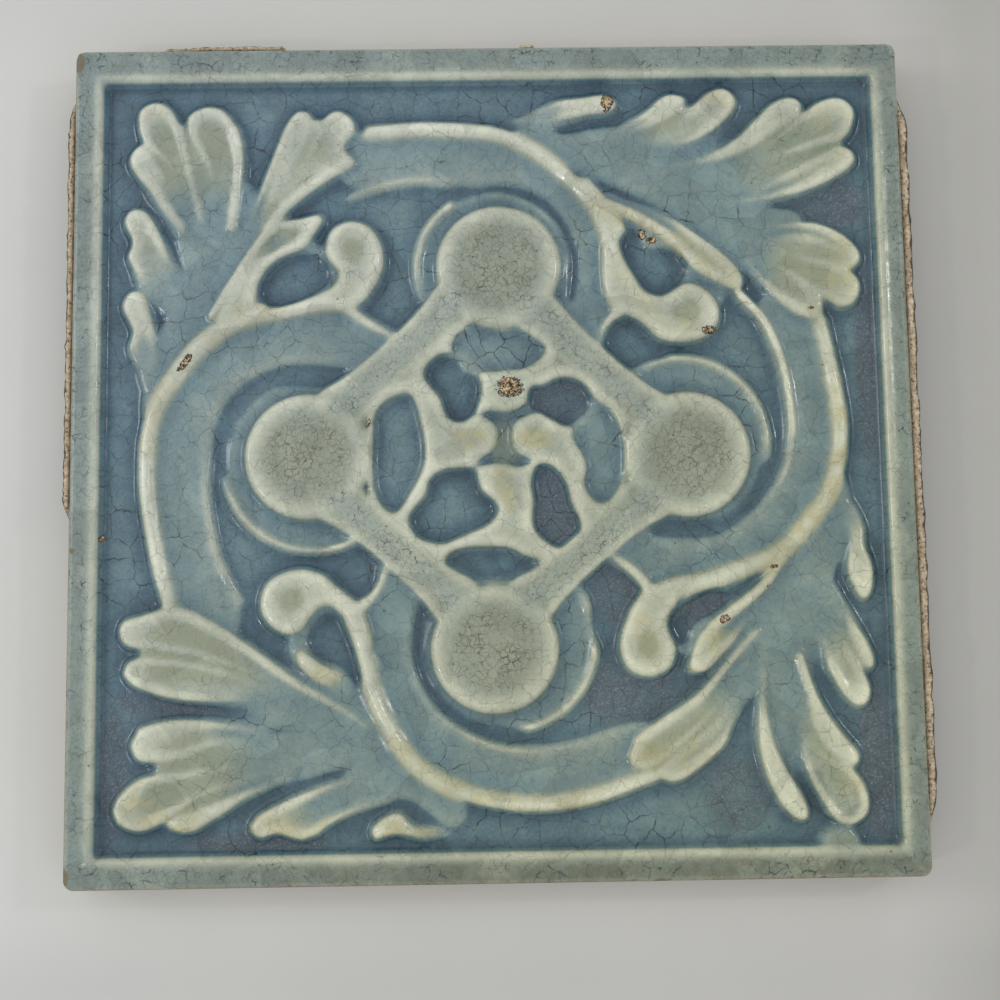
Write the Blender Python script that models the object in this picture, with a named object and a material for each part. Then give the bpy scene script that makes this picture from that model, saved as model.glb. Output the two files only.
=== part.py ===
# An antique moulded relief tile lying on its back, face up, with traces of its old mortar on three edges.
# Metres, +Z up; the origin is the middle of the flat back.
import math

import bmesh
import bpy
import numpy as np

# The tile's body
TILE_SIDE = 0.152
GROUND_THICKNESS = 0.0085
RELIEF_DEPTH = 0.0026
RIM_WIDTH = 0.0061
CORNER_RADIUS = 0.0018
ARRIS_RADIUS = 0.0009
# Keyed back: shallow stopped grooves on both sides of a land in the middle
KEY_DEPTH = 0.0012
KEY_WIDTH = 0.007
KEY_PITCH = 0.022
KEY_MARGIN = 0.012
KEY_DRAFT = 0.0006
# Old mortar that clings to the edges
MORTAR_GAP = 0.0003
MORTAR_FOOT = 0.0006
MORTAR_BELOW_RIM = 0.0006
MORTAR_RIGHT_WIDTH = 0.0020
MORTAR_LEFT_WIDTH = 0.0015
MORTAR_TOP_WIDTH = 0.0009
MORTAR_CRUMB_WIDTH = 0.0007
# Fineness of the solid
CELL_SIZE = 0.0009
FACETS = 8200
SMOOTH_ANGLE = math.radians(35)

# Heights of the relief as shares of its depth
LENS = 0.34
WEB = 0.40
CHANNEL = 0.46
COLLAR = 0.66
VEIN = 0.90
ARM = 0.86
BAR = 0.88
CREST = 1.0
RIM_BAND = 0.88

# The design is drawn in hundredths of the panel inside the rim, u to the right and v up from its middle.
PANEL = 100.0
RIM_INNER = {"left": 50.3, "right": 50.5, "bottom": 50.1, "top": 49.6}
RIM_SLOPE = 1.0
RIM_CREST = 1.5
DISC_RADIUS = 8.4
DISC_DISH_RADIUS = 6.9
RING_RADIUS = 9.8
COLLAR_HALF_WIDTH = 0.95
COLLAR_BED_HALF_WIDTH = 1.6
COLLAR_BED_INSET = 1.4
CREST_HALF_WIDTH = 1.5
INNER_CREST_HALF_WIDTH = 0.9
CHANNEL_HALF_WIDTH = 3.7
BALL_RADIUS = 4.3
BAR_HALF_WIDTH = 2.7
BAR_FLARE = 1.2
BEAD_RADIUS = 3.1
DISH = 0.13

# Discs: centre, then the collar's centre, its radius, and the angles at which its ridge starts and ends
DISCS = {
    "left": ((-23.8, -0.2), (-23.0, -0.7), 11.6, 192, 305),
    "top": ((1.05, 24.5), (0.3, 24.6), 9.9, 22, 202),
    "right": ((25.1, -0.5), (24.3, 0.9), 11.2, -12, 122),
    "bottom": ((-0.1, -25.2), (1.5, -24.2), 11.2, -118, 34),
}

# Stems: the crest along the outside, the faint crest along the inside, the middle of the channel between
# them, the neck, the centre of the ball that ends it, and the tie from the neck to the nearest bar
STEMS = {
    "left": {
        "outer": [(-41.6, -19), (-43.5, -11), (-44.6, -3), (-43.9, 5), (-40.5, 11), (-35, 16.6), (-28, 19),
                  (-20, 20.3)],
        "inner": [(-33.6, -19), (-36, -12), (-37, -4), (-36.6, 3)],
        "channel": [(-38.2, -19.5), (-39.9, -10), (-40.4, 0), (-38.2, 8), (-34, 12.8), (-28, 15.4),
                    (-20, 15.8), (-14, 13.6)],
        "neck": [(-22, 20.3), (-17, 21.9), (-16.6, 25.5)],
        "ball": (-17.8, 27.5),
        "tie": [(-19.5, 19.8), (-15.5, 16.9), (-12.5, 15.4)],
    },
    "top": {
        "outer": [(-15.6, 43), (-8, 43.3), (0, 42.7), (5, 40.8), (10, 37), (14.5, 32), (17.2, 25.5),
                  (19.5, 21.3)],
        "inner": [(-18.1, 34.3), (-14, 35.7), (-9, 36.4), (-5, 35.8)],
        "channel": [(-17, 39.4), (-8, 39.8), (0, 38.6), (6.5, 35.2), (11.2, 30), (13.4, 24), (13.2, 19),
                    (11.6, 15.4)],
        "neck": [(18.5, 22.5), (20.6, 20.2), (23.4, 18.6)],
        "ball": (25.3, 18.2),
        "tie": [(18.4, 20.2), (15.2, 17.2), (14.2, 13.8)],
    },
    "right": {
        "outer": [(43, 17), (44.4, 9), (45.1, 2), (43.9, -4.8), (40, -10.5), (35.5, -14.8), (30, -16.4),
                  (24.4, -18.6)],
        "inner": [(32.6, 19.5), (35.5, 17), (38.2, 11), (39, 4), (38, -2), (35, -6.6), (31.5, -9.4)],
        "channel": [(38.6, 18), (41, 10), (42, 2), (40.5, -5), (36, -11), (30.5, -13.3), (24, -14.2),
                    (17.4, -12.6)],
        "neck": [(25.5, -18), (22, -20.3), (20.6, -23)],
        "ball": (19.2, -24.8),
        "tie": [(20.6, -19.4), (18.6, -16), (15.6, -13.8)],
    },
    "bottom": {
        "outer": [(20, -41.2), (12, -43.8), (4, -44.7), (-4, -43.2), (-10.3, -39.6), (-15, -33),
                  (-17.2, -25), (-19.6, -18.4)],
        "inner": [(-10.6, -20), (-11, -25), (-9.5, -29.5), (-6.5, -33.5), (-2, -36.5), (3, -37.7),
                  (9, -37.4), (16, -35.4)],
        "channel": [(18, -38.3), (10, -40.6), (3, -41), (-4, -39.5), (-9.5, -35), (-13, -29), (-14, -23),
                    (-13.2, -17)],
        "neck": [(-18.6, -20.5), (-21, -17.2), (-24, -16.9)],
        "ball": (-26, -18.8),
        "tie": [(-18.6, -20), (-16.2, -18.4), (-13.6, -15)],
    },
}

# Bars between the discs: both ends of the middle line
BARS = [
    ((-5.6, 18.8), (-19.2, 6.3)),
    ((6.2, 18.2), (19.8, 5.2)),
    ((6.2, -17.6), (19.4, -6.4)),
    ((-7.0, -17.2), (-19.6, -6.0)),
]

# Lobes of the leaves: root, bend, tip, half-widths at the root and near the tip, depth of the hollow
LOBES = {
    "top left": [
        ((-37, 25), (-41.6, 36), (-43.3, 43.8), 2.2, 3.3, 0.45),
        ((-37.5, 27.5), (-42.4, 34.6), (-44.7, 39.2), 1.6, 2.7, 0.30),
        ((-34.6, 26), (-34.9, 36), (-36.2, 42.9), 2.0, 3.9, 0.45),
        ((-38.5, 20), (-42.5, 25.6), (-45.8, 30.4), 1.6, 2.5, 0.25),
        ((-41, 19), (-43.8, 23.0), (-45.6, 26.0), 1.2, 2.2, 0.15),
        ((-43.0, 9.5), (-44.4, 14), (-46, 19.6), 1.6, 2.1, 0.15),
        ((-44.6, 9), (-45.2, 12), (-46, 14.6), 1.0, 1.8, 0.0),
        ((-35.0, 22), (-30.6, 33), (-24.8, 42.4), 2.2, 3.5, 0.50),
        ((-34, 23.0), (-27.0, 35.9), (-20.6, 41.9), 1.6, 3.5, 0.30),
        ((-33.6, 20), (-28.8, 26.6), (-24, 30.0), 2.2, 2.3, 0.30),
    ],
    "top right": [
        ((3, 43.4), (9, 45.4), (15.0, 45.9), 1.2, 2.3, 0.0),
        ((14.5, 42.6), (19.5, 44.0), (24.6, 45.6), 1.4, 2.2, 0.1),
        ((16.5, 40.8), (24, 42.6), (30.6, 45.4), 1.6, 2.8, 0.25),
        ((21, 38.4), (31, 40.8), (39.5, 45.0), 1.2, 2.2, 0.1),
        ((24, 36.4), (36, 39.0), (45.2, 43.9), 2.6, 3.8, 0.45),
        ((27, 34.4), (38, 34.9), (46.2, 39.0), 1.4, 2.5, 0.2),
        ((27, 31.5), (36, 28.8), (45.2, 26.0), 2.2, 3.3, 0.35),
        ((30, 27), (37, 24.8), (45.4, 21.2), 2.2, 3.0, 0.35),
        ((31.5, 25.4), (36, 22.8), (40.4, 20.4), 2.6, 2.9, 0.1),
        ((13.6, 35.0), (23.6, 29.8), (30.8, 23.0), 1.8, 2.4, 0.25),
    ],
    "bottom left": [
        ((-18, -33.4), (-32, -26.0), (-45.2, -22.3), 1.2, 3.2, 0.3),
        ((-20, -34.2), (-34, -27.9), (-44.4, -26.6), 1.6, 3.0, 0.45),
        ((-24, -36), (-36, -36.4), (-43.0, -36.3), 1.8, 3.1, 0.3),
        ((-20, -38), (-34, -40), (-44.0, -43.2), 2.2, 4.1, 0.45),
        ((-24, -40.2), (-33, -43.2), (-39.2, -45.0), 1.2, 2.6, 0.3),
        ((-12, -40.7), (-22, -43.4), (-28.8, -45.8), 1.6, 2.6, 0.3),
        ((-13, -43), (-19.6, -44.6), (-24.8, -45.9), 1.4, 2.5, 0.1),
        ((-3, -46), (-8.4, -46.6), (-13.0, -46.9), 0.9, 2.1, 0.0),
        ((-17, -31.9), (-20.8, -29.4), (-24.0, -26.6), 1.2, 2.0, 0.2),
    ],
    "bottom right": [
        ((33.2, -22), (26.7, -31.8), (18.6, -37.6), 1.4, 3.2, 0.4),
        ((32.5, -30), (27.3, -36.2), (22.0, -40.0), 1.8, 2.4, 0.35),
        ((33.5, -18.6), (29.2, -22.4), (26.0, -25.8), 1.8, 2.4, 0.1),
        ((35.2, -21), (33.6, -34), (37.4, -44.6), 1.2, 2.9, 0.3),
        ((37.6, -21), (39.2, -33), (43.0, -38.4), 1.2, 2.8, 0.2),
        ((37.6, -27), (39, -38), (43.4, -44.6), 1.8, 3.6, 0.35),
        ((41.6, -18), (43.2, -26.6), (45.0, -30.4), 1.5, 2.6, 0.25),
        ((43.6, -18), (45.4, -23.6), (47.0, -27.4), 1.0, 1.7, 0.0),
        ((43.6, -5.5), (46.6, -10.8), (47.2, -17.6), 1.2, 1.9, 0.0),
    ],
}

# Veins: crests along the lobes' edges, as points, half-width, and heights at the first and last point
VEINS = {
    "top left": [
        ([(-18.9, 39.6), (-24, 36.4), (-29, 31.2), (-33, 24.6), (-36, 18.6)], 1.35, 0.95, 0.92),
        ([(-40.3, 45), (-39.2, 39.5), (-37.2, 31)], 0.95, 0.92, 0.46),
        ([(-33.1, 43.2), (-32.3, 38), (-33.4, 29)], 1.05, 0.92, 0.50),
        ([(-44.2, 30.8), (-41.8, 26), (-39.4, 21.6)], 0.95, 0.85, 0.46),
        ([(-23.4, 29.2), (-27.4, 25.5), (-30.6, 22), (-32.8, 19.0)], 1.15, 0.90, 0.85),
    ],
    "top right": [
        ([(32.2, 22.4), (28, 27.0), (21, 32.0), (13, 36.4)], 1.0, 0.90, 0.85),
        ([(39, 44.8), (33, 41.2), (26, 38.7), (19, 37.6)], 0.95, 0.92, 0.46),
        ([(46.6, 38.2), (42, 35.2), (36, 33.6), (29, 33.2)], 1.10, 0.96, 0.50),
        ([(45, 28.6), (40.5, 29.8), (35.5, 29.6)], 0.95, 0.85, 0.50),
        ([(40, 18.6), (36.6, 21), (34.0, 24)], 1.20, 0.96, 0.60),
        ([(31.6, 44), (27, 41.5), (21.5, 40.2)], 0.90, 0.80, 0.46),
    ],
    "bottom left": [
        ([(-42, -20.0), (-34, -22.8), (-25, -29.0), (-16.5, -34.2)], 1.40, 0.92, 0.75),
        ([(-44.4, -28.8), (-38, -30.3), (-30, -31.2), (-23, -32.8)], 0.95, 0.80, 0.46),
        ([(-42, -34), (-36, -33.7), (-29, -34.8)], 0.95, 0.90, 0.46),
        ([(-38.4, -46.4), (-33.5, -43.4), (-28.5, -40.8), (-22, -39)], 1.05, 0.92, 0.46),
        ([(-29.5, -44.2), (-25, -42.3), (-19.5, -40.9), (-15, -40.6)], 0.95, 0.85, 0.46),
    ],
    "bottom right": [
        ([(36, -14.8), (33.6, -18.0), (31.2, -22.0), (28.0, -26.6)], 1.20, 0.96, 0.70),
        ([(18.4, -35.7), (23, -32.6), (27.5, -29.4), (31.4, -25), (34, -20)], 1.15, 0.92, 0.60),
        ([(33.3, -26), (32.9, -32), (33.7, -39), (36.2, -44.6)], 1.05, 0.60, 0.96),
        ([(39, -27.5), (41.2, -33), (44.8, -38)], 1.05, 0.65, 0.92),
        ([(41.6, -21), (42.3, -27), (44.4, -31.4)], 1.05, 0.50, 0.92),
        ([(43.8, -19.6), (46, -24), (47.6, -28.2)], 0.90, 0.65, 0.92),
        ([(22.6, -41), (26.6, -38.2), (29.6, -35)], 0.95, 0.90, 0.46),
        ([(36.8, -31), (38.4, -38), (40.8, -44.2)], 0.85, 0.46, 0.85),
    ],
}

# Webs: the middle level from which the lobes of a leaf spread, as broad low strokes with half-widths
WEBS = {
    "top left": [
        ([(-37, 14), (-37.5, 22), (-40, 32)], 4.2),
        ([(-36, 20), (-34, 28), (-31, 36)], 4.4),
        ([(-44, 8), (-43, 14), (-42, 19)], 2.2),
    ],
    "top right": [
        ([(5, 43), (13, 40), (22, 40.5)], 2.8),
        ([(12, 38.5), (22, 35.5), (34, 37.5)], 4.6),
        ([(22, 32), (30, 30), (37, 26)], 4.2),
    ],
    "bottom left": [
        ([(-15, -36), (-24, -35.5), (-32, -36)], 4.0),
        ([(-14, -38.5), (-20, -40.5), (-28, -41)], 3.4),
        ([(-9, -43.5), (-14, -44), (-18, -43.5)], 1.8),
    ],
    "bottom right": [
        ([(37, -15), (34.6, -22), (31, -31)], 3.6),
        ([(38.5, -14), (37, -24), (37, -34)], 3.4),
        ([(41, -9), (42.5, -14), (43, -20)], 2.8),
    ],
}

# The whirl in the middle: arms with half-widths, and the centres of its four beads
ARMS = [
    ([(-2.5, 1.5), (-6.2, 1.8), (-8.4, 4.6), (-10.6, 10.6)], 2.0),
    ([(-5, 1.0), (-8.2, -1.2), (-11, -7.8)], 1.9),
    ([(1.6, 9.0), (5.0, 10.6), (9.6, 12.6)], 1.6),
    ([(5.2, 1.9), (9.4, 0.2), (11, -4.6), (12.6, -9.8)], 2.0),
    ([(1.6, -4.4), (3.4, -7), (2.6, -9.8)], 2.2),
    ([(2.6, -9.8), (-3, -11.1), (-9.2, -12.9)], 1.5),
    ([(2.4, -9.6), (5.6, -11.2), (9.8, -13.6)], 1.5),
]
BEADS = [(-3.0, 1.7), (1.4, 8.0), (5.0, 1.8), (1.0, -3.9)]
# Shallow cells beside the bars: centre and half-axes
CELLS = [(-12.4, 0.6, 3.6, 8.2), (1.4, 13.0, 5.4, 3.0), (13.6, 0.0, 3.4, 8.6), (0.2, -14.0, 6.6, 2.5)]

# Old mortar: the edge each strip clings to, its start and end as shares of half the side, and its width
MORTAR_STRIPS = {
    "mortar_right": ("right", -0.91, 0.90, MORTAR_RIGHT_WIDTH),
    "mortar_left": ("left", -0.16, 0.90, MORTAR_LEFT_WIDTH),
    "mortar_top": ("top", -0.80, -0.48, MORTAR_TOP_WIDTH),
    "mortar_crumb": ("top", 0.075, 0.120, MORTAR_CRUMB_WIDTH),
}
# How a strip runs out at its ends: its share of the full width there, and over what share of its length
MORTAR_END_SHARE = 0.3
MORTAR_RUN_OUT = 0.08
# How much of a strip's width and height comes and goes along it, and where its section's shoulder sits
MORTAR_WIDTH_PLAY = 0.22
MORTAR_HEIGHT_PLAY = 0.10
MORTAR_SHOULDER = 0.86

GLAZED_CLAY = (0.196, 0.254, 0.262)
OLD_MORTAR = (0.435, 0.337, 0.225)


def smooth_step(x, low, high):
    """0 below low, 1 above high, with a soft rise between."""
    t = np.clip((x - low) / (high - low), 0.0, 1.0)
    return t * t * (3.0 - 2.0 * t)


def higher(base, new, soft=0.06):
    """The higher of two heights, joined softly."""
    return np.maximum(base, new) + np.maximum(soft - np.abs(base - new), 0.0) ** 2 / (4.0 * soft)


def smooth_curve(points, steps=6):
    """A smooth curve through hand-set points."""
    p = np.array([points[0], *points, points[-1]], float)
    curve = []
    for a, b, c, d in zip(p[:-3], p[1:-2], p[2:-1], p[3:]):
        for t in np.arange(steps) / steps:
            curve.append(0.5 * (2 * b + (c - a) * t + (2 * a - 5 * b + 4 * c - d) * t ** 2
                                + (3 * b - a - 3 * c + d) * t ** 3))
    curve.append(p[-2])
    return np.array(curve)


def bent_line(root, bend, tip, steps=8):
    """A curve from root to tip that passes through the bend half way."""
    root, bend, tip = (np.array(point, float) for point in (root, bend, tip))
    pull = 2 * bend - 0.5 * (root + tip)
    t = np.linspace(0, 1, steps + 1)[:, None]
    return (1 - t) ** 2 * root + 2 * t * (1 - t) * pull + t ** 2 * tip


def arc(centre, radius, first, last, steps=24):
    """Points along an arc, angles in degrees."""
    angles = np.radians(np.linspace(first, last, steps + 1))
    return np.column_stack([centre[0] + radius * np.cos(angles), centre[1] + radius * np.sin(angles)])


class Relief:
    """A grid of heights to which strokes and rounds are added, each joining softly with what is there."""

    def __init__(self, u, v):
        self.u, self.v = u, v
        self.height = np.zeros(u.shape)

    def stroke(self, line, width, profile):
        """profile(across, share): height from the distance in half-widths and the share of the way."""
        n = len(line) - 1
        widths = np.broadcast_to(np.asarray(width, float), (n + 1,))
        reach = widths.max() * 1.3
        near = ((self.u > line[:, 0].min() - reach) & (self.u < line[:, 0].max() + reach)
                & (self.v > line[:, 1].min() - reach) & (self.v < line[:, 1].max() + reach))
        u, v = self.u[near], self.v[near]
        across = np.full(u.shape, 9.0)
        share = np.zeros(u.shape)
        for i in range(n):
            start, run = line[i], line[i + 1] - line[i]
            t = np.clip(((u - start[0]) * run[0] + (v - start[1]) * run[1]) / max(run @ run, 1e-9), 0, 1)
            gap = np.hypot(u - start[0] - t * run[0], v - start[1] - t * run[1])
            gap /= widths[i] + t * (widths[i + 1] - widths[i])
            closer = gap < across
            across[closer] = gap[closer]
            share[closer] = (i + t[closer]) / n
        self.height[near] = higher(self.height[near], profile(across, share))

    def round(self, centre, radius, profile):
        """profile(distance): height from the distance in radii; radius may differ along u and v."""
        ru, rv = radius if isinstance(radius, tuple) else (radius, radius)
        distance = np.hypot((self.u - centre[0]) / ru, (self.v - centre[1]) / rv)
        self.height = higher(self.height, profile(distance))


def rounded(across):
    return np.maximum(1 - across ** 2, -1)


def add_webs(relief):
    for webs in WEBS.values():
        for points, width in webs:
            relief.stroke(smooth_curve(points), width,
                          lambda across, share: WEB * (1 - smooth_step(across, 0.62, 1.15)) * (1 - 0.35 * share))


def add_channels(relief):
    for stem in STEMS.values():
        relief.stroke(smooth_curve(stem["channel"]), CHANNEL_HALF_WIDTH,
                      lambda across, share: CHANNEL * (1 - smooth_step(across, 0.78, 1.08))
                      - 0.05 * np.maximum(1 - across ** 2, 0))


def add_rings_and_cells(relief):
    for cu, cv, half_u, half_v in CELLS:
        relief.round((cu, cv), (half_u, half_v), lambda distance: LENS * (1 - smooth_step(distance, 0.85, 1.1)))
    for centre, collar_centre, radius, first, last in DISCS.values():
        relief.round(centre, RING_RADIUS, lambda distance: LENS * (1 - smooth_step(distance, 0.96, 1.05)))
        relief.stroke(arc(collar_centre, radius - COLLAR_BED_INSET, first, last), COLLAR_BED_HALF_WIDTH,
                      lambda across, share: LENS * (1 - smooth_step(across, 0.75, 1.1)))
        relief.stroke(arc(collar_centre, radius, first, last), COLLAR_HALF_WIDTH,
                      lambda across, share: COLLAR * rounded(across)
                      * (0.75 + 0.25 * smooth_step(share, 0, 0.12) * (1 - smooth_step(share, 0.88, 1))))


def add_leaves(relief):
    for lobes in LOBES.values():
        for root, bend, tip, root_width, tip_width, hollow in lobes:
            line = bent_line(root, bend, tip)
            swell = np.interp(np.linspace(0, 1, len(line)), [0, 0.85, 1], [0, 1, 0.96])

            def lobe(across, share, hollow=hollow):
                dish = 0.8 * hollow * np.maximum(1 - across ** 2, 0) ** 1.5
                dish *= (1 - 0.55 * smooth_step(share, 0.7, 1.0)) * smooth_step(share, 0.0, 0.3)
                return (0.42 + 0.56 * smooth_step(share, 0.0, 0.75)) * (1 - across ** 5) - dish

            relief.stroke(line, root_width + (tip_width - root_width) * swell, lobe)
    for veins in VEINS.values():
        for points, width, first, last in veins:
            relief.stroke(smooth_curve(points), width,
                          lambda across, share: (first + (last - first) * share) * rounded(across))


def add_stems(relief):
    for stem in STEMS.values():
        relief.stroke(smooth_curve(stem["outer"]), CREST_HALF_WIDTH,
                      lambda across, share: CREST * rounded(across) * (0.82 + 0.18 * smooth_step(share, 0, 0.15)))
        relief.stroke(smooth_curve(stem["inner"]), INNER_CREST_HALF_WIDTH,
                      lambda across, share: 0.62 * rounded(across)
                      * (0.6 + 0.4 * smooth_step(share, 0, 0.3) * (1 - smooth_step(share, 0.7, 1))))
        relief.stroke(smooth_curve(stem["tie"]), INNER_CREST_HALF_WIDTH,
                      lambda across, share: (0.85 - 0.2 * share) * rounded(across))
        neck = smooth_curve(stem["neck"])
        relief.stroke(neck, np.linspace(CREST_HALF_WIDTH, 3.4, len(neck)),
                      lambda across, share: 0.96 * (1 - across ** 4))
        relief.round(stem["ball"], BALL_RADIUS,
                     lambda distance: CREST * (1 - distance ** 6) - DISH * np.maximum(1 - distance ** 2, 0) ** 2)


def add_bars_and_discs(relief):
    for ends in BARS:
        line = np.array([np.array(ends[0]) + (np.array(ends[1]) - np.array(ends[0])) * t
                         for t in np.linspace(0, 1, 9)])
        flare = BAR_FLARE * np.abs(np.linspace(-1, 1, 9)) ** 3
        relief.stroke(line, BAR_HALF_WIDTH + flare,
                      lambda across, share: BAR * (1 - smooth_step(across, 0.74, 1.08))
                      - 0.10 * np.maximum(1 - (across / 0.8) ** 2, 0))
    dish = DISC_DISH_RADIUS / DISC_RADIUS
    for centre, *_ in DISCS.values():
        relief.round(centre, DISC_RADIUS,
                     lambda distance: CREST * (1 - smooth_step(distance, 0.89, 1.05))
                     - DISH * (1 - smooth_step(distance, 0.55 * dish, 1.05 * dish)))


def add_whirl(relief):
    for points, width in ARMS:
        relief.stroke(smooth_curve(points), width, lambda across, share: ARM * (1 - np.abs(across) ** 3))
    for centre in BEADS:
        relief.round(centre, BEAD_RADIUS, lambda distance: CREST * (1 - distance ** 4))


def add_rim(relief):
    u, v = relief.u, relief.v
    past = np.maximum.reduce([-u - RIM_INNER["left"], u - RIM_INNER["right"],
                              -v - RIM_INNER["bottom"], v - RIM_INNER["top"]])
    rise = smooth_step(past, -0.35 * RIM_SLOPE, 0.65 * RIM_SLOPE)
    fall = (CREST - RIM_BAND) * smooth_step(past, RIM_CREST, RIM_CREST + RIM_SLOPE)
    relief.height = higher(relief.height, rise * (CREST - fall))


def relief_heights(u, v):
    """Shares of the relief's depth at grids u and v of design coordinates."""
    relief = Relief(u, v)
    add_webs(relief)
    add_channels(relief)
    add_rings_and_cells(relief)
    add_leaves(relief)
    add_stems(relief)
    add_bars_and_discs(relief)
    add_whirl(relief)
    add_rim(relief)
    return relief.height


def paint(thing, name, colour, roughness):
    """Give an object its own Principled material."""
    material = bpy.data.materials.new(name)
    material.use_nodes = True
    shader = material.node_tree.nodes["Principled BSDF"]
    shader.inputs["Base Color"].default_value = (*colour, 1.0)
    shader.inputs["Roughness"].default_value = roughness
    shader.inputs["Metallic"].default_value = 0.0
    thing.data.materials.append(material)


def place_mesh(name, shape):
    """Make a named object from a bmesh."""
    mesh = bpy.data.meshes.new(name)
    shape.to_mesh(mesh)
    shape.free()
    thing = bpy.data.objects.new(name, mesh)
    bpy.context.scene.collection.objects.link(thing)
    return thing


def rounded_corner(x, y, half):
    """Pull points in the corner squares onto quarter discs, so that the tile's corners are round."""
    start = half - CORNER_RADIUS
    a = np.maximum(np.abs(x) - start, 0) / CORNER_RADIUS
    b = np.maximum(np.abs(y) - start, 0) / CORNER_RADIUS
    new_x = np.where(a > 0, np.sign(x) * (start + CORNER_RADIUS * a * np.sqrt(1 - b ** 2 / 2)), x)
    new_y = np.where(b > 0, np.sign(y) * (start + CORNER_RADIUS * b * np.sqrt(1 - a ** 2 / 2)), y)
    return new_x, new_y


def make_tile():
    """The body with its relief, as one closed solid, keyed at the back."""
    half = TILE_SIDE / 2
    cells = 2 * round(half / CELL_SIZE)
    shape = bmesh.new()
    bmesh.ops.create_grid(shape, x_segments=cells, y_segments=cells, size=half)
    flat = np.array([vertex.co[:] for vertex in shape.verts])
    x, y = flat[:, 0], flat[:, 1]
    unit = (TILE_SIDE - 2 * RIM_WIDTH) / PANEL
    height = RELIEF_DEPTH * relief_heights(x / unit, y / unit)
    edge = np.clip((ARRIS_RADIUS - (half - np.maximum(np.abs(x), np.abs(y)))) / ARRIS_RADIUS, 0, 1)
    arris = ARRIS_RADIUS * (1 - np.sqrt(1 - edge ** 2))
    new_x, new_y = rounded_corner(x, y, half)
    for vertex, px, py, pz in zip(shape.verts, new_x, new_y, GROUND_THICKNESS + height - arris):
        vertex.co = (px, py, pz)
    rim = [edge for edge in shape.edges if edge.is_boundary]
    skirt = bmesh.ops.extrude_edge_only(shape, edges=rim)["geom"]
    for item in skirt:
        if isinstance(item, bmesh.types.BMVert):
            item.co.z = 0.0
    bmesh.ops.contextual_create(shape, geom=[edge for edge in shape.edges if edge.is_boundary])
    bmesh.ops.recalc_face_normals(shape, faces=shape.faces)
    bmesh.ops.triangulate(shape, faces=shape.faces)
    tile = place_mesh("tile", shape)
    thin = tile.modifiers.new("Facets", "DECIMATE")
    thin.decimate_type = "COLLAPSE"
    thin.ratio = FACETS / len(tile.data.polygons)
    keys = tile.modifiers.new("Keyed back", "BOOLEAN")
    keys.operation = "DIFFERENCE"
    keys.solver = "EXACT"
    keys.object = make_keys()
    paint(tile, "glazed_clay", GLAZED_CLAY, 0.22)
    return tile


def make_keys():
    """The cutter for the grooves in the back: wider at the mouth than at the floor."""
    shape = bmesh.new()
    half_length = TILE_SIDE / 2 - KEY_MARGIN
    each_side = int((half_length - KEY_WIDTH / 2) / KEY_PITCH + 0.5)
    for side in (-1, 1):
        for k in range(each_side):
            middle = side * (k + 0.5) * KEY_PITCH
            rings = []
            for level, grow in ((KEY_DEPTH, -KEY_DRAFT), (-KEY_DEPTH, KEY_DRAFT)):
                wide, long = KEY_WIDTH / 2 + grow, half_length + grow
                corners = ((-wide, -long), (wide, -long), (wide, long), (-wide, long))
                rings.append([shape.verts.new((middle + a, b, level)) for a, b in corners])
            top, bottom = rings
            shape.faces.new(top)
            shape.faces.new(bottom[::-1])
            for i in range(4):
                j = (i + 1) % 4
                shape.faces.new((top[j], top[i], bottom[i], bottom[j]))
    bmesh.ops.recalc_face_normals(shape, faces=shape.faces)
    cutter = place_mesh("key_cutter", shape)
    cutter.hide_render = True
    cutter.display_type = "WIRE"
    return cutter


def uneven(along, seed):
    """A slow uneven wave between 0 and 1, the same each time."""
    waves = sum(math.sin(along * pace + seed * 1.7 * k) for k, pace in enumerate((9.0, 17.0, 31.0), 1))
    return 0.5 + waves / 6.0


def make_mortar(name, stations=22):
    """A strip of old mortar along one edge, squarish in section, uneven, and running out at both ends."""
    side, first, last, width = MORTAR_STRIPS[name]
    half = TILE_SIDE / 2
    top = GROUND_THICKNESS + RELIEF_DEPTH * RIM_BAND - MORTAR_BELOW_RIM
    near = half + MORTAR_GAP
    seed = len(name)
    shape = bmesh.new()
    rings = []
    for i in range(stations):
        share = i / (stations - 1)
        full = float(smooth_step(min(share, 1 - share), 0.0, MORTAR_RUN_OUT))
        taper = MORTAR_END_SHARE + (1 - MORTAR_END_SHARE) * full
        out = width * taper * (1 - MORTAR_WIDTH_PLAY * uneven(share * 2, seed))
        tall = MORTAR_FOOT + (top - MORTAR_FOOT) * (1 - MORTAR_HEIGHT_PLAY * uneven(share * 3, seed + 2))
        shoulder = MORTAR_SHOULDER * tall
        section = ((0.0, MORTAR_FOOT), (out, MORTAR_FOOT), (out, shoulder),
                   (MORTAR_SHOULDER * out, tall), (0.0, tall))
        along = (first + (last - first) * share) * half
        ring = []
        for reach, z in section:
            outward = near + reach
            spot = {"right": (outward, along, z), "left": (-outward, along, z), "top": (along, outward, z)}[side]
            ring.append(shape.verts.new(spot))
        rings.append(ring)
    for ring, after in zip(rings, rings[1:]):
        for k in range(len(ring)):
            j = (k + 1) % len(ring)
            shape.faces.new((ring[k], ring[j], after[j], after[k]))
    shape.faces.new(rings[0])
    shape.faces.new(rings[-1])
    bmesh.ops.recalc_face_normals(shape, faces=shape.faces)
    strip = place_mesh(name, shape)
    paint(strip, "old_" + name, OLD_MORTAR, 0.95)
    return strip


def main():
    for thing in list(bpy.data.objects):
        bpy.data.objects.remove(thing, do_unlink=True)
    tile = make_tile()
    tile.data.shade_smooth()
    tile.data.set_sharp_from_angle(angle=SMOOTH_ANGLE)
    for name in MORTAR_STRIPS:
        make_mortar(name)


main()
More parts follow.
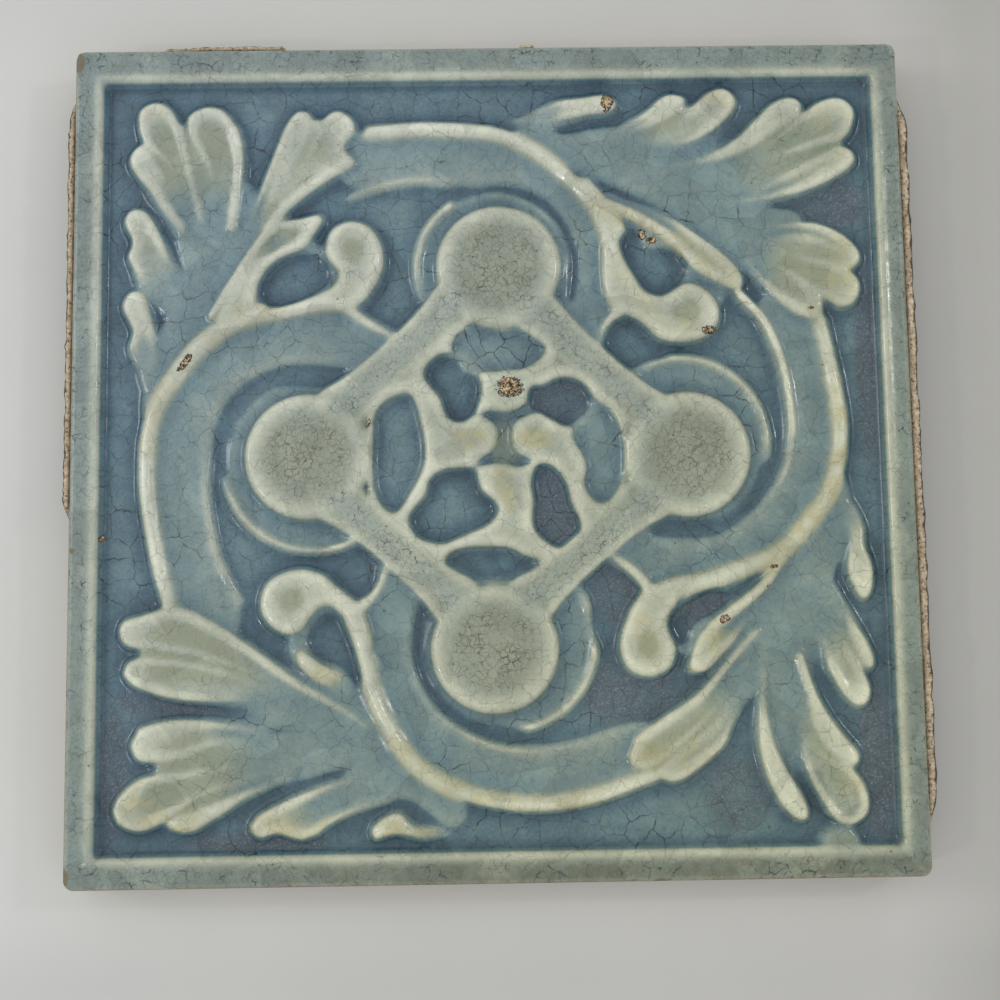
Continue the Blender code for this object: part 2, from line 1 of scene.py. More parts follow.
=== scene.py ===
# The looks of an antique moulded relief tile: crazed glaze over pressed clay, with old mortar on its edges.
import math

import bmesh
import bpy
import numpy as np
from mathutils import Matrix, Vector, noise


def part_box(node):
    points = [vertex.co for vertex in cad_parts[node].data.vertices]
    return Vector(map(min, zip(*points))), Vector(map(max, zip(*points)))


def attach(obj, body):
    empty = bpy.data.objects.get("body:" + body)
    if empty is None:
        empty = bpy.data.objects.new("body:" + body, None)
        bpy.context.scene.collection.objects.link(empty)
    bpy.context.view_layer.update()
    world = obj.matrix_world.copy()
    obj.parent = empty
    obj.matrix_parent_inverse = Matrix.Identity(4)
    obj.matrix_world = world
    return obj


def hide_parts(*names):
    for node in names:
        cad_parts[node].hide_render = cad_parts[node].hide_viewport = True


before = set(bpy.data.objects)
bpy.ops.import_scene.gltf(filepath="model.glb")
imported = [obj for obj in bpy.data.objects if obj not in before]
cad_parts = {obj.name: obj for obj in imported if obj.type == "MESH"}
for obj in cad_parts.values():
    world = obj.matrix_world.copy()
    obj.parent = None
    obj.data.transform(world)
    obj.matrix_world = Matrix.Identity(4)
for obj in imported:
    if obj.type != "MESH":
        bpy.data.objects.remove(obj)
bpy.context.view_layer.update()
TILE_LOW, TILE_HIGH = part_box("tile")

# The tile, in metres, as the frame holds it
HALF_SIDE = min(TILE_HIGH.x, TILE_HIGH.y, -TILE_LOW.x, -TILE_LOW.y)
FACE_TOP = TILE_HIGH.z
RELIEF_DEPTH = 0.0026
GROUND_LEVEL = FACE_TOP - RELIEF_DEPTH
RIM_WIDTH = 0.0061
CORNER_RADIUS = 0.0018
ARRIS_RADIUS = 0.0009
KEY_DEPTH = 0.0012
KEY_WIDTH = 0.007
KEY_PITCH = 0.022
KEY_MARGIN = 0.012
KEY_DRAFT = 0.0006

# Fineness of the glazed face, and how much the glaze softens the clay under it
FACE_CELLS = 300
CELL = 2 * HALF_SIDE / FACE_CELLS
GLAZE_SOFTNESS = 0.00038
GLAZE_RIPPLE = 0.00004
# The glaze runs off what stands out and pools in what lies low: reach in metres and weight of each softening
RUN_OFF = ((0.00040, 0.80), (0.00060, 1.76), (0.0011, -0.80), (0.0022, -1.02), (0.0070, -0.54))
CREASE_REACH = 0.0008
CHIP_DEPTH = 0.00028
SIDE_ROUGHNESS = 0.00012
SIDE_STEPS = (0.0026, 0.0026, 0.0026)

# Heights of the relief as shares of its depth
GROUND = 0.07
LENS = 0.30
WEB = 0.42
CHANNEL = 0.48
COLLAR = 0.70
BAR = 0.86
ARM = 0.76
CREST = 1.0
RIM_BAND = 0.84

# The design is drawn in hundredths of the panel inside the rim, u to the right and v up from its middle.
PANEL = 100.0
RIM_INNER = {"left": 50.3, "right": 50.5, "bottom": 50.1, "top": 49.6}
RIM_SLOPE = 1.0
RIM_CREST = 0.75
RIM_BULGE = ((43.0, -50.6), 3.4)
DISC_RADIUS = 8.4
DISC_DISH_RADIUS = 6.9
RING_RADIUS = 10.6
COLLAR_HALF_WIDTH = 0.95
CREST_HALF_WIDTH = 1.45
SHOULDER_HALF_WIDTH = 3.2
SHOULDER = 0.72
INNER_CREST_HALF_WIDTH = 0.95
TIE_HALF_WIDTH = 1.35
CHANNEL_HALF_WIDTH = 3.9
BAR_HALF_WIDTH = 2.8
BAR_FLARE = 1.2
DISH = 0.14
PAD_SLOPE = 1.2
PAD_RIM = 1.25
LAND_SLOPE = 1.0
POCKET_SLOPE = 0.75
POCKET_LIP = 0.17

# Discs: centre, then the collar's centre, its radius, and the angles at which its ridge starts and ends
DISCS = {
    "left": ((-23.8, -0.2), (-23.0, -0.7), 11.6, 192, 305),
    "top": ((1.05, 24.5), (0.3, 24.6), 9.9, 22, 202),
    "right": ((25.1, -0.5), (24.3, 0.9), 11.2, -12, 122),
    "bottom": ((-0.1, -25.2), (1.5, -24.2), 11.2, -118, 34),
}
# Bars between the discs: both ends of the middle line
BARS = [
    ((-4.5, 19.8), (-19.6, 5.9)),
    ((5.1, 19.3), (20.4, 4.6)),
    ((4.6, -19.0), (20.0, -5.9)),
    ((-5.2, -18.8), (-20.0, -5.7)),
]

# Stems: the crest along the outside, the faint crest along the inside, the middle of the channel between
# them, the outline of the comma that ends it, the hollow's centre, and the tie to the nearest bar
STEMS = {
    "left": {
        "outer": [(-41.6, -19), (-43.3, -12), (-44.6, -3), (-43.9, 5), (-40.5, 11), (-35, 16.6), (-28, 19),
                  (-20, 20.3)],
        "inner": [(-32.6, -18.8), (-34.6, -15), (-36, -11), (-37, -4), (-36.6, 3)],
        "channel": [(-38.2, -19.0), (-39.7, -10), (-40.4, 0), (-38.2, 8), (-34, 12.8), (-28, 15.0),
                    (-20, 15.4), (-15.5, 13.8)],
        "comma": [(-21.8, 27.7), (-20.9, 30), (-18.3, 31.2), (-15.5, 30.3), (-13.9, 27.8), (-13.6, 25.0),
                  (-14.6, 22.2), (-16.4, 19.8), (-19, 18.6), (-24.5, 19.0), (-23.4, 20.6), (-20.7, 22.4),
                  (-20.2, 24.2), (-21.4, 25.6)],
        "hollow": (-17.9, 27.2),
        "tie": [(-19.5, 19.8), (-15.5, 16.9), (-12.5, 15.4)],
    },
    "top": {
        "outer": [(-15.6, 43), (-8, 43.3), (0, 42.7), (5, 40.8), (10, 37), (14.0, 32.4), (16.4, 26.0),
                  (18.2, 22.3)],
        "inner": [(-18.1, 34.3), (-14, 35.7), (-9, 36.4), (-5, 35.8)],
        "channel": [(-17, 39.4), (-8, 39.8), (0, 38.6), (6.5, 35.2), (11.2, 30), (12.8, 24), (12.6, 19.6),
                    (11.4, 16.4)],
        "comma": [(14.6, 28), (17.0, 27.4), (18.3, 23.9), (20.3, 21.3), (22.3, 20.7), (24.0, 21.8),
                  (26.4, 22.3), (28.7, 21.1), (30.1, 18.6), (29.6, 16.0), (27.4, 14.3), (24.6, 13.8),
                  (21.6, 14.5), (19.6, 16.4), (17.4, 17.7), (15.4, 18.6), (14.4, 21.2), (14.2, 24.6)],
        "hollow": (25.8, 18.4),
        "tie": [(17.0, 18.6), (15.2, 16.6), (14.4, 14.0)],
    },
    "right": {
        "outer": [(43, 17), (44.4, 9), (45.1, 2), (43.7, -4.8), (40.4, -9.6), (36.4, -13.4), (30, -15.9),
                  (24.4, -17.8)],
        "inner": [(32.6, 20.3), (35.5, 17), (37.6, 12), (38.6, 6), (38.3, -1), (35.8, -6.0), (31.8, -9.8)],
        "channel": [(38.6, 18), (41, 10), (42, 2), (40.5, -4.6), (36.5, -9.8), (31, -12.6), (25, -13.6),
                    (18.6, -12.4)],
        "comma": [(30.5, -16.2), (25.4, -17.9), (22.9, -20.6), (22.2, -22.6), (23.2, -25.4), (22.4, -28.0),
                  (20.0, -29.3), (17.4, -28.8), (15.8, -27.0), (15.5, -24.4), (16.4, -21.6), (17.6, -19.0),
                  (20.0, -17.0), (24.6, -15.8)],
        "hollow": (19.4, -25.2),
        "tie": [(19.6, -17.6), (17.8, -15.6), (15.4, -13.6)],
    },
    "bottom": {
        "outer": [(20, -41.2), (12, -43.8), (4, -44.7), (-4, -43.2), (-10.3, -39.6), (-14.6, -33),
                  (-16.4, -27), (-17.8, -21.4)],
        "inner": [(-10.6, -20), (-11.2, -25), (-9.9, -29.5), (-6.8, -33.7), (-2, -36.8), (3, -38.0),
                  (9, -37.6), (16, -35.4)],
        "channel": [(18, -38.3), (10, -40.6), (3, -41), (-4, -39.5), (-9.9, -35), (-13.0, -29), (-14, -23),
                    (-13.4, -18)],
        "comma": [(-30.2, -18.6), (-29.4, -16.3), (-27.4, -14.9), (-24.8, -14.3), (-22.0, -15.0),
                  (-19.8, -16.8), (-17.0, -19.2), (-15.6, -22.6), (-15.8, -25.8), (-17.6, -25.4),
                  (-18.6, -22.8), (-19.9, -20.6), (-21.6, -19.6), (-23.2, -20.8), (-24.4, -22.5),
                  (-26.4, -23.3), (-28.6, -22.3), (-29.9, -20.6)],
        "hollow": (-26.0, -18.6),
        "tie": [(-17.0, -19.6), (-15.4, -17.6), (-13.9, -15)],
    },
}

# Blades of the leaves: how deep they are dished, then their outline from the root round to the root
BLADES = {
    "top left": [
        (0.34, [(-37.2, 28.5), (-40.6, 34.5), (-42.6, 38.4), (-45.2, 41.0), (-46.3, 43.5), (-46.1, 46.4),
                (-43.7, 47.6), (-41.5, 46.5), (-40.1, 43.8), (-39.0, 39.4), (-37.2, 34.0)]),
        (0.16, [(-39.3, 31.0), (-43.2, 33.4), (-46.0, 36.4), (-47.5, 39.2), (-46.4, 41.5), (-44.7, 41.6),
                (-42.9, 38.9), (-40.9, 35.2)]),
        (0.34, [(-34.2, 27.5), (-36.2, 33.5), (-37.6, 38.5), (-39.4, 42.2), (-39.9, 45.2), (-37.6, 46.8),
                (-35.0, 46.5), (-33.2, 44.6), (-32.0, 41.5), (-32.0, 38.0), (-32.8, 33.0)]),
        (0.26, [(-34.5, 21.5), (-32.8, 28.5), (-30.6, 35), (-28.6, 40.0), (-26.8, 44.3), (-25.0, 46.2),
                (-23.0, 45.4), (-23.2, 42.0), (-26.5, 36.0), (-30.5, 28.5)]),
        (0.28, [(-32.6, 24.0), (-28.4, 33.0), (-25.0, 38.5), (-22.8, 43.0), (-21.6, 45.4), (-19.6, 46.2),
                (-17.6, 44.8), (-17.3, 42.8), (-18.6, 41.0), (-17.7, 39.0), (-19.2, 37.0), (-24.0, 34.7),
                (-28.2, 30.7)]),
        (0.24, [(-33.2, 20.0), (-32.2, 25.0), (-30.4, 28.8), (-28.0, 31.1), (-25.0, 31.6), (-21.9, 32.1),
                (-22.6, 30.0), (-23.7, 27.6), (-26.4, 26.2), (-29.0, 24.4), (-30.4, 21.2)]),
        (0.20, [(-39.0, 19.2), (-43.0, 21.2), (-45.8, 23.4), (-47.6, 26.2), (-47.0, 28.4), (-48.1, 31.0),
                (-47.0, 33.0), (-44.8, 32.8), (-43.1, 30.4), (-41.2, 26.4), (-39.2, 22.4)]),
        (0.10, [(-43.2, 9.0), (-45.9, 11.2), (-47.4, 14.2), (-46.9, 16.6), (-48.2, 19.8), (-47.0, 22.0),
                (-45.0, 21.7), (-43.8, 18.8), (-43.0, 14.4)]),
    ],
    "top right": [
        (0.08, [(2.6, 44.3), (6, 46.1), (9, 47.4), (12.5, 47.7), (15.5, 48.0), (17.3, 46.8), (16.6, 45.2),
                (13.6, 44.6), (10.6, 43.9), (6.6, 43.2)]),
        (0.12, [(14.0, 41.5), (17.5, 44.0), (20.6, 45.7), (22.8, 47.5), (24.6, 48.0), (26.6, 47.1),
                (25.4, 45.0), (22.5, 43.2), (18.5, 41.7)]),
        (0.26, [(15.5, 40.2), (20.5, 42.2), (25.0, 44.4), (27.2, 46.6), (29.4, 48.3), (31.6, 48.7),
                (33.2, 47.0), (32.6, 45.0), (30.6, 42.9), (27.0, 40.7), (22.0, 39.5), (18.0, 39.0)]),
        (0.10, [(18.0, 36.8), (24.5, 38.2), (29.0, 39.7), (32.4, 41.7), (35.2, 44.4), (37.6, 46.6),
                (40.0, 47.4), (41.9, 46.3), (41.4, 44.2), (38.6, 42.3), (35.0, 40.0), (30.5, 38.1),
                (25.0, 36.9)]),
        (0.26, [(26.5, 35.6), (32.5, 38.5), (38.0, 42.3), (41.2, 44.9), (44.0, 46.8), (47.0, 47.2),
                (48.8, 45.4), (48.4, 42.6), (46.9, 40.9), (43.5, 39.9), (39.0, 38.4), (33.5, 36.2)]),
        (0.20, [(26.0, 33.2), (33.0, 34.1), (38.0, 36.6), (43.0, 39.2), (46.6, 40.6), (48.6, 39.4),
                (48.0, 37.3), (45.6, 35.6), (41.5, 33.8), (36.5, 32.6), (31.0, 32.2)]),
        (0.34, [(30.0, 28.4), (36.0, 30.0), (42.0, 30.4), (46.2, 28.8), (48.7, 26.2), (48.5, 24.2),
                (46.4, 23.2), (42.0, 24.0), (36.0, 25.8)]),
        (0.26, [(31.5, 27.2), (37.0, 26.8), (43.0, 25.4), (47.4, 23.6), (48.7, 21.4), (47.7, 18.9),
                (45.4, 18.3), (43.0, 19.8), (38.5, 22.6), (34.0, 25.2)]),
        (0.12, [(31.5, 27.0), (36.5, 25.6), (41.0, 23.0), (43.7, 19.8), (43.1, 17.4), (41.0, 16.9),
                (38.5, 18.3), (35.2, 21.5), (32.8, 24.2)]),
        (0.22, [(12.6, 36.4), (17, 34.3), (20.8, 32.8), (24.3, 31.2), (27.3, 29.0), (30.0, 26.8),
                (32.4, 24.4), (33.4, 22.3), (32.5, 20.8), (30.6, 21.2), (27.6, 23.0), (25.5, 24.6),
                (23.5, 26.8), (21.0, 28.6), (18.6, 29.8), (15.6, 31.0), (13.4, 33.4)]),
    ],
    "bottom left": [
        (0.24, [(-17.0, -33.8), (-21.0, -31.0), (-26.5, -27.7), (-31.0, -24.4), (-35.5, -21.2),
                (-39.0, -19.2), (-42.4, -19.3), (-45.0, -19.9), (-47.4, -20.7), (-48.1, -22.6),
                (-46.6, -24.6), (-42.0, -25.2), (-36.0, -26.6), (-28.0, -29.9)]),
        (0.32, [(-20.0, -33.8), (-27.0, -30.2), (-34.0, -27.0), (-40.0, -25.6), (-44.6, -25.2),
                (-46.9, -26.0), (-47.3, -27.8), (-45.9, -29.5), (-42.8, -30.6), (-38.5, -31.5),
                (-32.5, -31.9), (-26.5, -32.8)]),
        (0.16, [(-24, -36.4), (-30, -34.5), (-36, -33.2), (-41, -33.1), (-44.5, -34.0), (-46.4, -36.2),
                (-45.7, -38.4), (-43.8, -39.1), (-39.5, -38.7), (-35.5, -37.3), (-30, -36.8)]),
        (0.30, [(-20, -38.3), (-27, -38.0), (-33, -38.6), (-39.0, -39.5), (-44.5, -40.2), (-47.4, -42.2),
                (-48.6, -44.4), (-47.7, -46.6), (-45.0, -47.6), (-42.4, -46.8), (-39.6, -45.0),
                (-35.6, -43.0), (-30, -41.3), (-25, -40.0)]),
        (0.06, [(-22, -39.8), (-26.0, -40.2), (-31, -41.6), (-36, -43.6), (-40.4, -45.2), (-42.0, -46.6),
                (-40.2, -47.6), (-38.2, -47.7), (-36.2, -46.7), (-33.3, -44.7), (-30.0, -42.8),
                (-26.5, -41.1)]),
        (0.26, [(-12.6, -42.0), (-18.0, -40.7), (-23.0, -41.9), (-27.0, -43.5), (-30.3, -45.3),
                (-31.4, -47.2), (-29.9, -48.6), (-27.6, -48.1), (-25.0, -48.8), (-22.5, -48.3),
                (-20.6, -46.9), (-17.2, -45.4), (-13.4, -44.4)]),
        (0.04, [(-5.6, -48.2), (-7.6, -47.0), (-10.2, -46.7), (-12.4, -45.1), (-14.8, -45.9),
                (-16.2, -47.4), (-15.5, -49.0), (-12.8, -48.4), (-10.0, -49.2), (-7.4, -49.1)]),
        (0.06, [(-17.4, -31.8), (-19.6, -31.2), (-22.2, -29.8), (-24.5, -28.0), (-25.6, -26.2),
                (-25.2, -24.7), (-23.8, -25.2), (-21.6, -26.7), (-19.4, -27.6), (-17.8, -29.6)]),
    ],
    "bottom right": [
        (0.20, [(35.2, -16.8), (31.6, -19.4), (28.6, -21.4), (26.3, -22.9), (25.0, -25.0), (24.2, -27.5),
                (24.9, -28.8), (26.9, -28.6), (28.8, -26.9), (30.8, -24.8), (32.8, -22.2), (34.8, -19.2)]),
        (0.34, [(33.8, -23.0), (29.8, -26.8), (26.4, -30.2), (22.8, -32.9), (19.2, -34.8), (17.0, -37.2),
                (16.3, -39.5), (17.8, -40.9), (20.2, -40.4), (23.6, -38.0), (27.6, -34.2), (31.6, -29.0)]),
        (0.22, [(33.6, -26.6), (29.8, -32.0), (25.8, -35.6), (22.0, -38.4), (19.9, -40.6), (20.9, -42.2),
                (23.0, -42.4), (25.8, -40.7), (28.9, -38.1), (30.2, -35.6), (32.0, -32.0)]),
        (0.04, [(34.4, -23.0), (33.5, -29.0), (32.7, -34.0), (32.7, -38.0), (33.7, -42.0), (35.5, -45.5),
                (37.6, -47.4), (39.3, -47.0), (38.9, -44.2), (36.9, -40.8), (35.3, -36.6), (34.8, -31.0)]),
        (0.14, [(38.8, -25.0), (40.1, -29.5), (41.9, -33.1), (44.1, -36.3), (46.1, -39.0), (45.3, -40.8),
                (42.6, -39.8), (40.2, -36.6), (38.7, -31.6)]),
        (0.55, [(37.4, -26.4), (39.4, -34.0), (42.0, -38.8), (45.0, -40.6), (46.8, -43.4), (46.9, -46.3),
                (44.8, -48.1), (42.3, -47.5), (40.5, -45.0), (38.6, -41.0), (37.4, -35.0), (36.8, -30.0)]),
        (0.24, [(40.3, -18.4), (41.0, -23.0), (41.5, -26.6), (42.5, -29.6), (44.1, -32.2), (45.8, -33.4),
                (47.4, -32.7), (47.8, -30.6), (46.9, -28.2), (45.4, -25.2), (43.8, -22), (42.2, -18.6)]),
        (0.02, [(43.0, -17.4), (44.0, -21.6), (45.1, -24.8), (46.3, -27.4), (47.6, -28.9), (48.5, -27.6),
                (47.9, -25.2), (46.5, -22.4), (45.2, -19.6), (44.2, -17.6)]),
        (0.06, [(44.2, -4.0), (46.8, -7.2), (48.0, -10.2), (48.0, -12.6), (48.8, -15.4), (48.5, -18.5),
                (47.2, -19.9), (45.7, -18.5), (44.8, -15.4), (45.2, -11.6), (44.2, -8.0)]),
    ],
}

# Veins: pale crests along the blades, as points, half-width, and heights at the first and last point
VEINS = {
    "top left": [
        ([(-18.4, 38.9), (-22.5, 36.3), (-26.6, 33.0), (-29, 29.8)], 1.25, 1.0, 0.96),
        ([(-28.4, 30.6), (-30, 28.4), (-33, 24.0), (-36.4, 18.4)], 0.8, 0.96, 0.90),
        ([(-41.4, 9.8), (-38.2, 14.2), (-34.0, 17.2), (-29.5, 19.0)], 2.0, 1.0, 0.96),
        ([(-40.7, 43.6), (-39.6, 38.8), (-37.6, 31)], 1.15, 0.98, 0.64),
        ([(-33.6, 43.2), (-32.9, 38.5), (-33.8, 30)], 1.35, 0.99, 0.72),
        ([(-45.4, 40.0), (-44.2, 36.8), (-42.3, 33.2), (-40.2, 30.2)], 1.9, 0.88, 0.66),
        ([(-22.6, 31.0), (-24.6, 28.2), (-27.6, 26.3), (-30.2, 23.8), (-31.6, 19.4)], 1.3, 0.95, 0.95),
    ],
    "top right": [
        ([(31.0, 22.2), (27.2, 24.4), (23.6, 28.2), (19.6, 30.9), (15.6, 32.8)], 1.1, 0.98, 1.0),
        ([(12.6, 35.4), (15.4, 31.8), (16.8, 29.4)], 1.7, 1.0, 0.95),
        ([(40.6, 46.4), (37.2, 44.4), (33.0, 41.2), (28.4, 39.0), (22, 37.5)], 0.95, 0.98, 0.50),
        ([(47.8, 38.4), (44, 36.2), (39.6, 34.2), (34.6, 33.1), (29, 32.9)], 1.0, 1.0, 0.52),
        ([(32.4, 46.2), (29.8, 43.4), (26.0, 41.2), (21.0, 40.1)], 0.75, 0.92, 0.50),
        ([(42.2, 17.9), (38.9, 19.0), (35.9, 22.0), (33.6, 25.0)], 1.0, 0.98, 0.60),
        ([(32.4, 20.6), (35.5, 17), (37.6, 12), (38.6, 6), (38.8, 2)], 0.95, 0.95, 0.75),
        ([(37.0, 29.6), (42.0, 29.6), (46.0, 27.8)], 0.8, 0.60, 0.92),
    ],
    "bottom left": [
        ([(-41.4, -19.9), (-36, -22.0), (-31, -25.2), (-25.6, -29.0), (-20.4, -32.0), (-16.0, -35.0)], 1.3, 0.98, 0.60),
        ([(-46.6, -27.6), (-43.6, -29.6), (-39.0, -30.8), (-33.0, -31.2)], 0.95, 0.98, 0.55),
        ([(-44.8, -34.8), (-40.6, -33.9), (-35.0, -34.1), (-29.4, -35.2)], 0.95, 0.92, 0.52),
        ([(-39.4, -46.9), (-35.4, -45.3), (-31.4, -42.9), (-26.4, -40.7)], 0.95, 0.98, 0.52),
        ([(-29.8, -46.0), (-25.6, -43.8), (-20.6, -41.8), (-15.6, -41.6)], 0.8, 0.92, 0.52),
        ([(-24.6, -48.2), (-21.6, -46.6), (-17.6, -44.8), (-13.6, -43.8)], 0.8, 0.92, 0.52),
    ],
    "bottom right": [
        ([(37.2, -13.4), (34.6, -17.2), (31.2, -20.2), (27.6, -22.8)], 1.1, 1.0, 0.90),
        ([(17.9, -37.0), (21.6, -34.4), (25.8, -31.6), (29.4, -27.6), (33.2, -23.4)], 1.05, 0.98, 0.70),
        ([(22.4, -41.4), (26.2, -39.2), (29.0, -36.6)], 0.95, 0.98, 0.60),
        ([(34.3, -25), (33.8, -31), (33.8, -37), (35.4, -42.4), (38.0, -46.4)], 0.95, 0.55, 1.0),
        ([(38.6, -26.6), (40.3, -32.0), (42.8, -36.4), (45.0, -39.8)], 1.15, 0.78, 0.99),
        ([(41.7, -24.6), (42.8, -28.6), (45.0, -31.8)], 0.9, 0.62, 0.96),
    ],
}

# Lands: the middle level from which the blades spread, as outlines
LANDS = [
    [(-45.0, 4.0), (-45.2, 10.0), (-43.6, 14.0), (-42.6, 18.0), (-40.4, 24.0), (-41.4, 30.0), (-40.0, 36.0),
     (-36.0, 38.0), (-31.0, 36.0), (-30.2, 30.0), (-32.4, 22.0), (-36.0, 16.0), (-41.0, 10.0)],
    [(3.0, 42.6), (8.0, 44.6), (9.6, 42.8), (15.4, 43.6), (21.0, 43.4), (27.0, 41.8), (24.0, 39.0),
     (26.6, 38.0), (33.0, 39.4), (38.0, 37.6), (36.0, 33.0), (41.0, 31.4), (40.0, 26.0), (33.0, 23.4),
     (27.0, 29.4), (19.0, 34.0), (11.0, 37.6)],
    [(-12.0, -36.0), (-16.4, -32.0), (-24.0, -31.6), (-33.0, -31.0), (-29.0, -33.6), (-22.0, -34.4),
     (-28.0, -35.2), (-36.0, -35.2), (-40.0, -38.0), (-34.0, -41.0), (-25.0, -39.6), (-18.0, -38.2),
     (-20.0, -41.0), (-25.0, -44.0), (-18.0, -45.0), (-11.6, -44.0), (-6.0, -47.6), (-4.0, -44.4)],
    [(44.6, -2.0), (46.4, -7.4), (45.4, -13.0), (43.8, -16.6), (44.4, -22.0), (41.4, -22.6), (39.6, -26.0),
     (40.4, -33.0), (40.0, -40.0), (36.4, -39.0), (34.6, -31.0), (31.0, -33.4), (26.4, -36.6), (26.0, -33.4),
     (30.6, -27.0), (29.4, -25.6), (33.0, -20.6), (36.6, -14.6), (41.0, -9.6)],
    [(-41.0, -16.0), (-40.6, -19.8), (-36.4, -21.0), (-33.0, -22.8), (-32.4, -19.8), (-34.6, -16.4)],
    [(16.6, 28.4), (20.4, 29.8), (25.6, 26.4), (29.4, 22.6), (31.4, 21.8), (29.4, 18.4), (24.0, 20.4),
     (18.0, 20.0), (14.6, 23.0)],
    [(-33.6, 19.4), (-31.4, 22.4), (-29.0, 26.0), (-24.4, 28.4), (-21.4, 27.4), (-19.6, 22.6), (-21.4, 19.6),
     (-27.0, 18.4)],
    [(-26.4, -23.0), (-25.8, -27.2), (-22.4, -30.6), (-16.2, -33.0), (-15.4, -27.0), (-18.4, -19.0),
     (-23.4, -18.0)],
    [(20.6, -17.0), (17.6, -20.4), (21.6, -24.6), (24.0, -26.4), (27.4, -24.0), (32.6, -19.6), (36.0, -15.0),
     (29.0, -15.4)],
]

# Ramps: where the ground rises gently to the land between two leaves, as points from the land down
RAMPS = [
    [(-20, -33.6), (-26, -33.4), (-32, -32.6), (-41, -31.4)],
    [(-16, -37.6), (-21, -38.6), (-26, -40.2), (-31, -42.4)],
    [(20, 38.4), (26, 39.6), (31, 42.2), (36, 45.8)],
    [(36.4, -30), (36.6, -36), (38.2, -41.5), (40.6, -46)],
    [(40.6, -16), (39.8, -22), (40.2, -28), (42.4, -33)],
]
RAMP_HALF_WIDTH = 1.9

# Bodies of the leaves: the higher level that joins the blades of one leaf, as level and outline from the root
BODIES = [
    (0.86, [(-22.6, 31.0), (-26.0, 30.8), (-29.5, 29.5), (-32.0, 26.5), (-35.0, 21.0), (-36.5, 16.0),
            (-33.0, 16.6), (-30.6, 19.4), (-30.1, 22.6), (-27.6, 25.6), (-24.4, 27.2)]),
    (0.64, [(-39.0, 16.0), (-39.5, 21.1), (-41.0, 24.7), (-42.7, 28.3), (-44.8, 31.4), (-47.4, 31.0),
            (-46.9, 27.8), (-47.2, 24.7), (-45.6, 21.1), (-42.7, 18.4)]),
    (0.60, [(-42.0, 5.0), (-42.4, 12.0), (-42.8, 16.6), (-44.6, 20.8), (-47.2, 21.4), (-46.6, 15.6), (-45.6, 9.0)]),
    (0.66, [(-37.0, 25.0), (-40.5, 31.5), (-43.5, 35), (-45.7, 38.5), (-45.2, 41.0), (-45.0, 44), (-42, 45.6),
            (-39.8, 43.8), (-37, 45), (-34, 44), (-33.2, 39), (-33.6, 32)]),
    (0.84, [(-33.5, 22), (-31, 31), (-28, 39), (-25.5, 44.7), (-20, 44.7), (-19, 41.5), (-19.4, 38.2),
            (-24, 35.5), (-29, 30)]),
    (0.72, [(13.0, 41), (20.5, 44.6), (25, 46.4), (28, 46.6), (31.8, 46.8), (30.2, 43.8), (26, 41.1), (20, 39.8)]),
    (0.64, [(20, 36.0), (28, 38.6), (34, 41.6), (38.5, 45.4), (42, 45.5), (47.0, 45.6), (47.2, 42), (47.1, 39.5),
            (44, 36.4), (38, 34.0), (30, 33.2), (24, 33.6)]),
    (0.74, [(29, 28), (36, 29), (42, 29.2), (47.0, 26.6), (47.2, 23.6), (47.0, 20.0), (43.8, 19.4),
            (41.6, 18.4), (38, 20.4), (34.2, 24)]),
    (0.70, [(-16, -34.2), (-24, -30.0), (-31, -25.4), (-37, -21.2), (-44, -20.9), (-46.8, -22.4), (-45.7, -25),
            (-46.0, -28), (-42, -29.9), (-36, -31), (-28, -32)]),
    (0.66, [(-17, -37.6), (-28, -35.8), (-36, -34.5), (-43, -34.7), (-45.2, -36.6), (-43.6, -39.4),
            (-47.0, -43), (-46.6, -46.2), (-42, -46.0), (-38.6, -46.6), (-34, -43.8), (-28, -41.2)]),
    (0.70, [(34.4, -22.5), (28, -29.6), (22.6, -33.8), (18.3, -36.6), (17.6, -39.6), (20.6, -40.6),
            (22.6, -41.4), (26.5, -39.1), (29.7, -35), (32.4, -30.5)]),
    (0.66, [(38.2, -24), (40.5, -31.8), (43.2, -36.6), (45.2, -39.6), (45.6, -43), (45.8, -46.2), (43, -47.0),
            (40.9, -44), (38.8, -39.5), (37.2, -33)]),
    (0.68, [(41.6, -16.6), (41.8, -25), (43.4, -30), (46, -32.3), (47.0, -29.4), (47.5, -27.8), (45.5, -23),
            (44.0, -18.0)]),
]

# Whirl in the middle: the high land that fills the quatrefoil, and the beads that its arms end in
WHIRL_LAND = [(-16.0, 6.6), (-10.0, 12.0), (-4.6, 16.4), (1.0, 16.4), (6.6, 16.0), (12.0, 10.6), (17.0, 6.0),
              (17.0, -5.0), (12.0, -10.4), (6.0, -16.0), (0.0, -17.0), (-6.6, -15.6), (-12.0, -10.0), (-16.0, -6.0)]
BEAD_RADIUS = 2.9
BEAD_DISH = 0.10
BEADS = [(-2.4, 1.8), (1.6, 7.9), (5.2, 1.7), (1.1, -4.2)]

